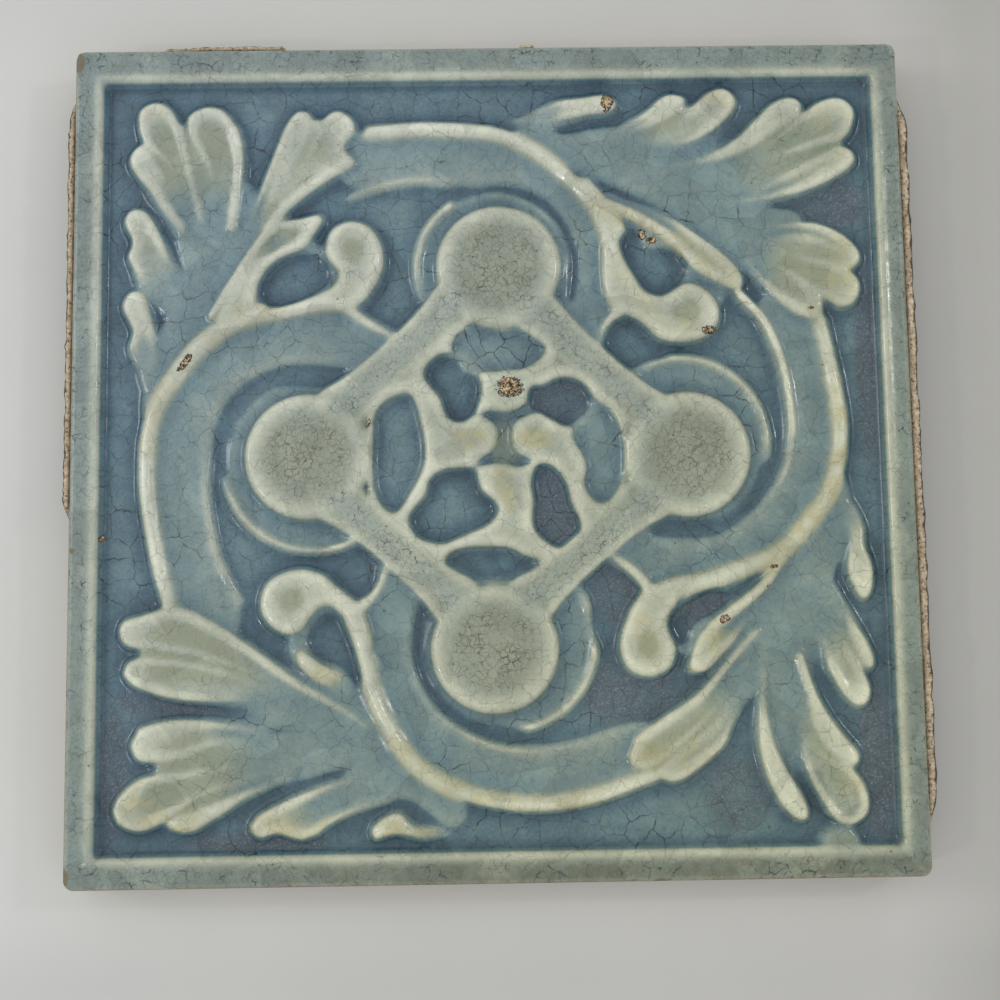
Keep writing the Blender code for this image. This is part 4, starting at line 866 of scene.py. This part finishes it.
def shape_tile(tile):
    """Set the relief's heights on the face, roughen the sides, and store the masks."""
    mesh = tile.data
    spots = np.empty(3 * len(mesh.vertices))
    mesh.vertices.foreach_get("co", spots)
    spots = spots.reshape(-1, 3)
    face = spots[:, 2] > FACE_TOP - CELL / 100
    column = np.rint((spots[:, 0] + HALF_SIDE) / CELL).astype(int).clip(0, FACE_CELLS)
    row = np.rint((spots[:, 1] + HALF_SIDE) / CELL).astype(int).clip(0, FACE_CELLS)
    fields = face_fields()
    spots[face, 2] = fields["height"][row[face], column[face]]
    x, y = rounded_corner(spots[:, 0], spots[:, 1])
    side = ~face & (np.maximum(np.abs(x), np.abs(y)) > HALF_SIDE - CORNER_RADIUS) & (spots[:, 2] > CELL)
    for i in np.nonzero(side)[0]:
        place = Vector((x[i], y[i], spots[i, 2])) * 400
        inward = SIDE_ROUGHNESS * (0.5 + 0.5 * noise.noise(place)) / HALF_SIDE
        x[i] *= 1 - inward
        y[i] *= 1 - inward
    spots[:, 0], spots[:, 1] = x, y
    mesh.vertices.foreach_set("co", spots.ravel())
    on_sides = {"tone": 0.1, "arris": 1.0, "chip": -1.0, "worn": -1.0}
    for name, grid in fields.items():
        if name != "height":
            values = np.where(face, grid[row, column], on_sides.get(name, 0.0)).astype(np.float32)
            mesh.attributes.new(name, "FLOAT", "POINT").data.foreach_set("value", values)
    bare = np.where(face, 0.0, smooth_step(-spots[:, 2], -FACE_TOP + 0.0012, -FACE_TOP + 0.0034))
    mesh.attributes.new("bare", "FLOAT", "POINT").data.foreach_set("value", bare.astype(np.float32))
    mesh.update()
    mesh.shade_smooth()
    mesh.set_sharp_from_angle(angle=math.radians(50))


def linear(red, green, blue):
    """A display colour of 0 to 255 as scene-linear values with full alpha."""
    values = []
    for channel in (red, green, blue):
        c = channel / 255
        values.append(c / 12.92 if c <= 0.04045 else ((c + 0.055) / 1.055) ** 2.4)
    return (*values, 1.0)


class Finish:
    """A node tree under construction, with one short call for each kind of node."""

    def __init__(self, tree):
        self.tree = tree

    def add(self, kind, settings=(), inputs=()):
        node = self.tree.nodes.new("ShaderNode" + kind)
        for name, value in dict(settings).items():
            setattr(node, name, value)
        for name, value in dict(inputs).items():
            self.feed(node.inputs[name], value)
        return node

    def feed(self, socket, value):
        if isinstance(value, bpy.types.NodeSocket):
            self.tree.links.new(value, socket)
        else:
            socket.default_value = value

    def math(self, operation, a, b=0.0, c=0.0):
        return self.add("Math", {"operation": operation}, {0: a, 1: b, 2: c}).outputs[0]

    def times(self, a, b):
        return self.math("MULTIPLY", a, b)

    def plus(self, a, b):
        return self.math("ADD", a, b)

    def wobble(self, value, pattern, strength):
        """A value moved up and down by a pattern whose middle is a half."""
        return self.math("MULTIPLY_ADD", self.math("SUBTRACT", pattern, 0.5), strength, value)

    def soft_range(self, value, low, high, to_low=0.0, to_high=1.0):
        node = self.add("MapRange", {"interpolation_type": "SMOOTHSTEP"},
                        {"Value": value, "From Min": low, "From Max": high, "To Min": to_low, "To Max": to_high})
        return node.outputs["Result"]

    def blend(self, share, a, b, kind="MIX"):
        node = self.add("Mix", {"data_type": "RGBA", "blend_type": kind})
        self.feed(node.inputs["Factor"], share)
        self.feed(node.inputs[6], a)
        self.feed(node.inputs[7], b)
        return node.outputs[2]

    def ramp(self, value, stops):
        node = self.add("ValToRGB", (), {"Fac": value})
        elements = node.color_ramp.elements
        for i, (place, colour) in enumerate(stops):
            element = elements[i] if i < 2 else elements.new(place)
            element.position = place
            element.color = colour
        return node.outputs["Color"]

    def attribute(self, name):
        return self.add("Attribute", {"attribute_name": name}).outputs["Fac"]

    def noise(self, place, scale, detail=2.0, roughness=0.5):
        node = self.add("TexNoise", (), {"Vector": place, "Scale": scale, "Detail": detail, "Roughness": roughness})
        return node.outputs["Fac"]

    def group(self, group, inputs):
        node = self.add("Group", {"node_tree": group}, inputs)
        return node.outputs[0]


def new_group(name, inputs, output, kind="NodeSocketFloat"):
    """An empty node group with named inputs and one output."""
    tree = bpy.data.node_groups.new(name, "ShaderNodeTree")
    for title, socket_kind, value in inputs:
        socket = tree.interface.new_socket(title, in_out="INPUT", socket_type=socket_kind)
        if value is not None:
            socket.default_value = value
    tree.interface.new_socket(output, in_out="OUTPUT", socket_type=kind)
    source = tree.nodes.new("NodeGroupInput")
    target = tree.nodes.new("NodeGroupOutput")
    return tree, source.outputs, target.inputs


def crazing_group():
    """Hairline cracks: the edges of warped cells, broken up so that some stretches fade."""
    tree, given, result = new_group("Crazing", [
        ("Place", "NodeSocketVector", None), ("Cells", "NodeSocketFloat", 300.0),
        ("Width", "NodeSocketFloat", 0.03), ("Broken", "NodeSocketFloat", 0.5)], "Mask")
    f = Finish(tree)
    wander = f.add("TexNoise", (), {"Vector": given["Place"], "Scale": 520.0, "Detail": 4.0}).outputs["Color"]
    nudge = f.add("VectorMath", {"operation": "MULTIPLY_ADD"},
                  {0: wander, 1: (0.0019, 0.0019, 0.0), 2: given["Place"]}).outputs[0]
    cells = f.add("TexVoronoi", {"feature": "DISTANCE_TO_EDGE", "voronoi_dimensions": "2D"},
                  {"Vector": nudge, "Scale": given["Cells"]}).outputs["Distance"]
    line = f.add("MapRange", {"interpolation_type": "SMOOTHSTEP"},
                 {"Value": cells, "From Min": 0.0, "From Max": given["Width"], "To Min": 1.0, "To Max": 0.0})
    fade = f.noise(given["Place"], 260.0, 2.0)
    kept = f.soft_range(f.math("SUBTRACT", fade, f.times(given["Broken"], 0.5)), 0.12, 0.42)
    strength = f.soft_range(f.noise(given["Place"], 800.0, 2.0), 0.35, 0.65, 0.45, 1.0)
    f.feed(result["Mask"], f.times(f.times(line.outputs["Result"], kept), strength))
    return tree


def specks_group():
    """Small round specks, each cell holding one or none."""
    tree, given, result = new_group("Specks", [
        ("Place", "NodeSocketVector", None), ("Cells", "NodeSocketFloat", 300.0),
        ("Size", "NodeSocketFloat", 0.15), ("Share", "NodeSocketFloat", 0.3)], "Mask")
    f = Finish(tree)
    cells = f.add("TexVoronoi", {"voronoi_dimensions": "3D"}, {"Vector": given["Place"], "Scale": given["Cells"]})
    chance = f.add("SeparateColor", (), {"Color": cells.outputs["Color"]}).outputs[0]
    chosen = f.math("LESS_THAN", chance, given["Share"])
    disc = f.add("MapRange", {"interpolation_type": "SMOOTHSTEP"},
                 {"Value": cells.outputs["Distance"], "From Min": 0.0, "From Max": given["Size"],
                  "To Min": 1.0, "To Max": 0.0})
    f.feed(result["Mask"], f.times(disc.outputs["Result"], chosen))
    return tree


def new_material(name):
    material = bpy.data.materials.new(name)
    material.use_nodes = True
    f = Finish(material.node_tree)
    shader = material.node_tree.nodes["Principled BSDF"]
    place = f.add("TexCoord").outputs["Object"]
    return material, f, shader, place


# The glaze's colour from where it pools deepest to where it has run off, by the tone field
TONE_LOW = -0.8
TONE_HIGH = 1.0
GLAZE_RAMP = [
    (-0.70, linear(50, 73, 88)), (0.90, linear(211, 211, 191)), (-0.50, linear(64, 90, 102)),
    (-0.34, linear(79, 105, 115)), (-0.18, linear(99, 122, 126)), (0.0, linear(116, 135, 133)),
    (0.12, linear(132, 146, 140)), (0.25, linear(150, 158, 146)), (0.38, linear(164, 169, 152)),
    (0.52, linear(178, 180, 160)), (0.68, linear(192, 193, 172)),
]


def glaze_material(crazing, specks):
    """Crazed translucent glaze over buff clay, by how deep it pools."""
    material, f, shader, place = new_material("crazed_glaze")
    tone, level, foot, olive, ochre = (f.attribute(name) for name in ("tone", "level", "foot", "olive", "ochre"))
    violet, dense, bars, band = (f.attribute(name) for name in ("violet", "dense", "bars", "band"))
    chip, worn, arris, bare, glint = (f.attribute(name) for name in ("chip", "worn", "arris", "bare", "glint"))

    cloud = f.noise(place, 90.0, 4.0, 0.6)
    patch = f.noise(place, 340.0, 3.0, 0.6)
    grain = f.noise(place, 1700.0, 3.0, 0.7)
    steps = f.plus(f.soft_range(level, 0.15, 0.33, 0.07, 0.375), f.soft_range(level, 0.52, 0.76, 0.0, 0.53))
    crisp = f.times(f.math("SUBTRACT", steps, level), 0.9)
    depth = f.plus(f.plus(tone, crisp), f.plus(f.plus(f.wobble(0.0, cloud, 0.26), f.wobble(0.0, patch, 0.34)),
                                               f.wobble(0.0, grain, 0.44)))
    share = f.math("DIVIDE", f.math("SUBTRACT", depth, TONE_LOW), TONE_HIGH - TONE_LOW)
    colour = f.ramp(share, [((at - TONE_LOW) / (TONE_HIGH - TONE_LOW), stop) for at, stop in GLAZE_RAMP])
    colour = f.blend(f.times(foot, 0.22), colour, linear(52, 72, 84))
    colour = f.blend(f.times(olive, 0.62), colour, linear(137, 140, 108))
    colour = f.blend(f.times(dense, 0.70), colour, linear(137, 139, 120))
    colour = f.blend(f.times(bars, 0.55), colour, linear(143, 152, 141))
    spread = f.add("SeparateXYZ", (), {0: place}).outputs
    banded = f.soft_range(patch, 0.32, 0.66, 0.55, 0.95)
    lower_right = f.times(f.soft_range(spread[1], -0.070, -0.073), f.soft_range(spread[0], -0.07, -0.01))
    band_tone = f.blend(lower_right, linear(118, 129, 121), linear(101, 105, 89))
    colour = f.blend(f.times(band, banded), colour, band_tone)
    pale = f.math("MAXIMUM", f.times(arris, 0.7), f.times(f.times(band, f.soft_range(cloud, 0.54, 0.72)), 0.35))
    colour = f.blend(pale, colour, linear(172, 172, 152))
    outside = f.math("MINIMUM", spread[0], spread[1])
    brown = f.times(f.soft_range(f.wobble(arris, patch, 0.5), 0.62, 0.86), f.soft_range(outside, -0.070, -0.075))
    colour = f.blend(f.times(brown, 0.7), colour, linear(128, 106, 78))
    warm = f.times(ochre, f.times(f.soft_range(f.plus(patch, f.times(grain, 0.4)), 0.50, 0.85), f.soft_range(depth, -0.1, 0.3)))
    colour = f.blend(f.times(warm, 0.70), colour, linear(172, 163, 118))
    matt = f.times(violet, f.soft_range(f.plus(patch, cloud), 0.80, 1.05, 0.55, 1.0))
    starry = f.noise(place, 2900.0, 2.0, 0.7)
    violet_tone = f.blend(f.soft_range(starry, 0.48, 0.72), linear(66, 76, 86), linear(118, 124, 132))
    colour = f.blend(f.times(matt, 0.8), colour, violet_tone)

    # Painted light: the face is lighter and cooler towards the top left, darker and warmer towards the bottom right.
    slant = f.math("SUBTRACT", spread[1], spread[0])
    painted_shading = f.blend(f.soft_range(slant, -0.15, 0.15), (0.945, 0.945, 0.84, 1.0), (0.985, 1.015, 1.095, 1.0))
    colour = f.blend(1.0, colour, painted_shading, "MULTIPLY")
    # Painted shading: each craze cell is made a little lighter or darker, standing in for facets that catch the light
    # differently.
    cells = f.add("TexVoronoi", {"voronoi_dimensions": "2D"}, {"Vector": place, "Scale": 210.0}).outputs["Color"]
    facet_shading = f.soft_range(f.add("SeparateColor", (), {"Color": cells}).outputs[1], 0.0, 1.0, 0.90, 1.09)
    colour = f.blend(1.0, colour, f.add("CombineColor", (), {0: facet_shading, 1: facet_shading, 2: facet_shading}).outputs[0], "MULTIPLY")

    dusty = f.math("MAXIMUM", band, f.math("MAXIMUM", dense, bars))
    wide = f.group(crazing, {"Place": place, "Cells": 235.0, "Width": 0.046, "Broken": 0.10})
    middle = f.group(crazing, {"Place": place, "Cells": 430.0, "Width": 0.056, "Broken": 0.50})
    fine = f.group(crazing, {"Place": place, "Cells": 690.0, "Width": 0.085, "Broken": 0.16})
    dashes = f.group(crazing, {"Place": place, "Cells": 540.0, "Width": 0.12, "Broken": 0.45})
    dashes = f.times(dashes, f.soft_range(f.noise(place, 700.0, 2.0), 0.45, 0.55))
    stressed = f.soft_range(f.noise(place, 75.0, 1.0), 0.52, 0.64)
    wide_share = f.times(f.soft_range(tone, -0.35, 0.3, 1.0, 0.36), f.plus(0.62, f.times(stressed, 0.6)))
    wide_share = f.times(wide_share, f.math("MULTIPLY_ADD", band, -0.6, 1.0))
    fine_share = f.plus(f.times(f.plus(dense, f.times(bars, 0.45)), 0.62), f.plus(f.times(band, 0.22), 0.14))
    cracks = f.math("MAXIMUM", f.times(wide, wide_share), f.times(middle, 0.52))
    cracks = f.math("MAXIMUM", cracks, f.times(fine, fine_share))
    cracks = f.math("MAXIMUM", cracks, f.times(dashes, f.plus(0.20, f.times(dusty, 0.8))))
    speckled = f.times(f.soft_range(grain, 0.50, 0.68), f.plus(f.times(dusty, 0.42), 0.10))
    colour = f.blend(speckled, colour, linear(92, 100, 84))
    crack_colour = f.blend(f.times(dense, 0.8), linear(34, 46, 50), linear(66, 62, 42))
    colour = f.blend(cracks, colour, crack_colour)
    pins = f.group(specks, {"Place": place, "Cells": 250.0, "Size": 0.085, "Share": 0.26})
    dirt = f.group(specks, {"Place": place, "Cells": 620.0, "Size": 0.20, "Share": 0.26})
    marks = f.math("MAXIMUM", f.times(pins, 0.85), f.times(dirt, f.plus(f.times(dusty, 0.70), 0.25)))
    colour = f.blend(marks, colour, linear(34, 40, 40))

    crumb = f.noise(place, 2300.0, 2.0, 0.75)
    ragged = f.wobble(chip, f.noise(place, 1500.0, 2.0, 0.7), 1.3)
    broken = f.soft_range(ragged, 0.10, 0.20)
    dark_edge = f.times(f.soft_range(ragged, 0.0, 0.10), f.soft_range(ragged, 0.14, 0.36, 1.0, 0.0))
    buff = f.ramp(crumb, [(0.40, linear(34, 28, 20)), (0.62, linear(204, 186, 150)), (0.50, linear(142, 119, 86))])
    colour = f.blend(broken, colour, buff)
    colour = f.blend(f.times(dark_edge, 0.9), colour, linear(30, 26, 22))
    rubbed = f.soft_range(f.wobble(worn, patch, 1.6), 0.0, 0.35)
    colour = f.blend(f.times(rubbed, 0.85), colour, linear(112, 98, 76))

    clay_grain = f.noise(place, 1400.0, 3.0, 0.7)
    clay = f.ramp(clay_grain, [(0.25, linear(136, 118, 92)), (0.75, linear(200, 184, 154))])
    clay = f.blend(f.soft_range(f.noise(place, 60.0, 2.0, 0.6), 0.42, 0.70, 0.0, 0.55), clay, linear(118, 106, 88))
    grog = f.group(specks, {"Place": place, "Cells": 700.0, "Size": 0.22, "Share": 0.2})
    clay = f.blend(f.times(grog, 0.5), clay, linear(88, 72, 56))
    unglazed = f.soft_range(f.wobble(bare, f.noise(place, 130.0, 2.0, 0.55), 0.9), 0.42, 0.56)
    colour = f.blend(unglazed, colour, clay)
    f.feed(shader.inputs["Base Color"], colour)

    rough = f.soft_range(f.noise(place, 240.0, 1.0), 0.3, 0.7, 0.16, 0.30)
    for mask, value in ((matt, 0.5), (band, 0.34), (dense, 0.30), (broken, 0.9), (rubbed, 0.8), (unglazed, 0.92)):
        rough = f.math("MAXIMUM", rough, f.times(mask, value))
    rough = f.math("MULTIPLY_ADD", glint, f.math("SUBTRACT", 0.08, rough), rough)
    f.feed(shader.inputs["Roughness"], rough)

    ripples = f.noise(place, 620.0, 2.0, 0.55)
    lumps = f.plus(f.times(clay_grain, f.plus(f.times(unglazed, 0.9), 0.02)), f.times(ripples, 0.42))
    lumps = f.plus(lumps, f.times(f.times(crumb, broken), 1.4))
    bump = f.add("Bump", (), {"Strength": 0.5, "Distance": 0.0002, "Height": lumps})
    f.feed(shader.inputs["Normal"], bump.outputs["Normal"])
    return material


def mortar_material(specks):
    """Crumbly sandy mortar with dark pits, and painted shade that darkens it along its outer edge."""
    material, f, shader, place = new_material("sandy_mortar")
    edge = f.attribute("edge")
    grain = f.noise(place, 1500.0, 5.0, 0.75)
    stain = f.noise(place, 120.0, 4.0, 0.6)
    colour = f.ramp(grain, [(0.34, linear(126, 108, 84)), (0.68, linear(220, 203, 178)), (0.5, linear(188, 169, 142))])
    colour = f.blend(f.soft_range(stain, 0.50, 0.72, 0.0, 0.55), colour, linear(132, 118, 92))
    pits = f.group(specks, {"Place": place, "Cells": 1300.0, "Size": 0.40, "Share": 0.75})
    colour = f.blend(f.times(pits, 0.88), colour, linear(48, 40, 28))
    # Painted shade: the strip is darkened towards its outer edge.
    painted_edge_shade = f.soft_range(f.wobble(edge, f.noise(place, 700.0, 4.0, 0.7), 0.7), 0.62, 0.80)
    colour = f.blend(f.times(painted_edge_shade, 0.88), colour, linear(50, 42, 30))
    f.feed(shader.inputs["Base Color"], colour)
    shader.inputs["Roughness"].default_value = 0.95
    bump = f.add("Bump", (), {"Strength": 0.8, "Distance": 0.0003, "Height": f.wobble(grain, pits, -0.8)})
    f.feed(shader.inputs["Normal"], bump.outputs["Normal"])
    return material


# Old mortar: how its strips are drawn
MORTAR_SECTION = 20
MORTAR_SQUARENESS = 0.45
MORTAR_STATIONS_PER_M = 1900
MORTAR_CRUMBLE = 0.0003
MORTAR_OVERLAP = 0.0002


def make_mortar(name):
    """A crumbly strip in the space of a mortar node: a squarish section drawn along the edge, then roughened."""
    low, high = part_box(name)
    size, middle = high - low, (low + high) / 2
    runs_along_x = size.x > size.y
    length = max(size.x, size.y)
    thick = min(size.x, size.y)
    clear_selection()
    bpy.ops.mesh.primitive_circle_add(vertices=MORTAR_SECTION, radius=0.5, fill_type="NGON",
                                      rotation=(math.pi / 2, 0, 0), location=(0, -0.5, 0))
    strip = bpy.context.active_object
    strip.name = name + "_crumbled"
    settle(strip)
    bpy.context.view_layer.objects.active = strip
    bpy.ops.object.mode_set(mode="EDIT")
    bpy.ops.mesh.select_all(action="SELECT")
    bpy.ops.mesh.extrude_region_move(TRANSFORM_OT_translate={"value": (0, 1, 0)})
    bpy.ops.mesh.select_mode(type="EDGE")
    bpy.ops.mesh.select_all(action="DESELECT")
    shape = bmesh.from_edit_mesh(strip.data)
    for edge in shape.edges:
        a, b = (vertex.co.y for vertex in edge.verts)
        edge.select_set(abs(a - b) > 0.5)
    bmesh.update_edit_mesh(strip.data)
    bpy.ops.mesh.subdivide(number_cuts=max(int(length * MORTAR_STATIONS_PER_M), 4))
    bpy.ops.mesh.select_all(action="SELECT")
    bpy.ops.mesh.normals_make_consistent(inside=False)
    bpy.ops.object.mode_set(mode="OBJECT")
    outer = []
    for vertex in strip.data.vertices:
        across, up = (math.copysign(min(abs(2 * part), 1.0) ** MORTAR_SQUARENESS, part) / 2 + 0.5
                      for part in (vertex.co.x, vertex.co.z))
        along = vertex.co.y * length
        taper = min(1.0, 14 * (0.5 - abs(vertex.co.y)) + 0.25)
        seed = Vector((along * 300, len(name) * 3.1, 0))
        out = thick * taper * (0.92 + 0.14 * noise.noise(seed))
        tall = size.z * (0.5 + 0.5 * taper) * (0.96 + 0.10 * noise.noise(seed * 0.7 + Vector((5, 0, 0))))
        rough = noise.fractal(Vector((along, across * out, up * tall)) * 1300, 0.8, 2.2, 4)
        reach = min(max(across * out * (1 + 0.12 * rough), 0.0), thick) - MORTAR_OVERLAP
        rise = min(max(up * tall + MORTAR_CRUMBLE * rough * up, 0.0), size.z)
        outer.append(across)
        if runs_along_x:
            vertex.co = (middle.x + along, low.y + reach, low.z + rise)
        elif middle.x > 0:
            vertex.co = (low.x + reach, middle.y + along, low.z + rise)
        else:
            vertex.co = (high.x - reach, middle.y + along, low.z + rise)
    # Share across the section, read by the mortar's painted shade along the outer edge.
    strip.data.attributes.new("edge", "FLOAT", "POINT").data.foreach_set("value", outer)
    bpy.ops.object.mode_set(mode="EDIT")
    bpy.ops.mesh.select_all(action="SELECT")
    bpy.ops.mesh.normals_make_consistent(inside=False)
    bpy.ops.object.mode_set(mode="OBJECT")
    strip.data.shade_smooth()
    return strip


def make_floor():
    """A plain pale sheet under the tile, with painted light and shade: a little darker away from the window, lighter
    just beside the tile's right edge and in bands above and below it.
    """
    clear_selection()
    bpy.ops.mesh.primitive_plane_add(size=3.0, location=(0, 0, 0))
    floor = bpy.context.active_object
    floor.name = "floor"
    material, f, shader, place = new_material("pale_floor")
    spread = f.add("SeparateXYZ", (), {0: place}).outputs
    # Painted light and shade: darker towards the right, lighter next to the tile's right edge, darker beyond bands
    # above and below the tile.
    across = f.math("MULTIPLY_ADD", spread[0], 5.0, 0.5)
    down = f.times(f.soft_range(spread[1], -0.080, -0.096, 1.0, 0.90), f.soft_range(spread[1], 0.076, 0.090, 1.0, 0.96))
    tone = f.ramp(across, [(0.05, linear(200, 200, 195)), (0.965, linear(172, 170, 163)), (0.86, linear(190, 188, 182))])
    mottle_and_shade = f.times(down, f.soft_range(f.noise(place, 14.0, 4.0, 0.6), 0.3, 0.7, 0.975, 1.02))
    shade = f.add("CombineColor", (), {0: mottle_and_shade, 1: mottle_and_shade, 2: mottle_and_shade}).outputs[0]
    f.feed(shader.inputs["Base Color"], f.blend(1.0, tone, shade, "MULTIPLY"))
    shader.inputs["Roughness"].default_value = 0.6
    floor.data.materials.append(material)


def add_light(name, place, size, power, colour=(1, 1, 1)):
    """A square soft light that looks at the tile."""
    light = bpy.data.lights.new(name, "AREA")
    light.shape = "SQUARE"
    light.size = size
    light.energy = power
    light.color = colour
    lamp = bpy.data.objects.new(name, light)
    bpy.context.scene.collection.objects.link(lamp)
    lamp.location = place
    lamp.rotation_euler = (-Vector(place)).to_track_quat("-Z", "Y").to_euler()


def light_scene():
    world = bpy.data.worlds.new("soft_room")
    world.use_nodes = True
    world.node_tree.nodes["Background"].inputs["Color"].default_value = (0.95, 0.97, 1.0, 1.0)
    world.node_tree.nodes["Background"].inputs["Strength"].default_value = 0.78
    bpy.context.scene.world = world
    add_light("window", (-0.9, 0.6, 1.4), 1.6, 3.2, (1.0, 0.99, 0.97))
    add_light("left_window", (-0.95, 0.2, 0.62), 0.35, 1.9)
    add_light("fill", (0.9, -0.9, 1.2), 1.2, 2.0)
    add_light("glint_left", (-0.75, -0.35, 0.75), 0.05, 0.9)
    add_light("glint_right", (0.7, 0.25, 0.7), 0.05, 0.7)
    bpy.context.scene.view_settings.view_transform = "Standard"
    bpy.context.scene.view_settings.look = "None"


# The camera, found from the four corners of the tile's face in the photograph
CAMERA_LENS = 54.0
CAMERA_PLACE = Vector((-0.0023, -0.0385, 0.2669 + 0.0108))
CAMERA_LOOK = Vector((0.0128, 0.1111, -0.9937))
CAMERA_UP = Vector((0.0140, 0.9937, 0.1113))


def aim_camera():
    lens = bpy.data.cameras.new("photo_camera")
    lens.sensor_width = 36.0
    lens.lens = CAMERA_LENS
    lens.clip_start = 0.01
    camera = bpy.data.objects.new("photo_camera", lens)
    bpy.context.scene.collection.objects.link(camera)
    back = -CAMERA_LOOK.normalized()
    right = CAMERA_UP.cross(back).normalized()
    up = back.cross(right)
    turn = Matrix((right, up, back)).transposed()
    camera.matrix_world = Matrix.Translation(CAMERA_PLACE) @ turn.to_4x4()
    bpy.context.scene.camera = camera


def dress(piece, material, slot, *nodes):
    """Give a piece its finish and let it stand for its nodes."""
    piece.data.materials.clear()
    piece.data.materials.append(material)
    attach(piece, "root")
    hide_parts(*nodes)


crazing = crazing_group()
specks = specks_group()
dress(make_tile(), glaze_material(crazing, specks), "glaze", "tile")
sandy = mortar_material(specks)
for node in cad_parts:
    if node.startswith("mortar"):
        dress(make_mortar(node), sandy, "mortar", node)
make_floor()
light_scene()
aim_camera()
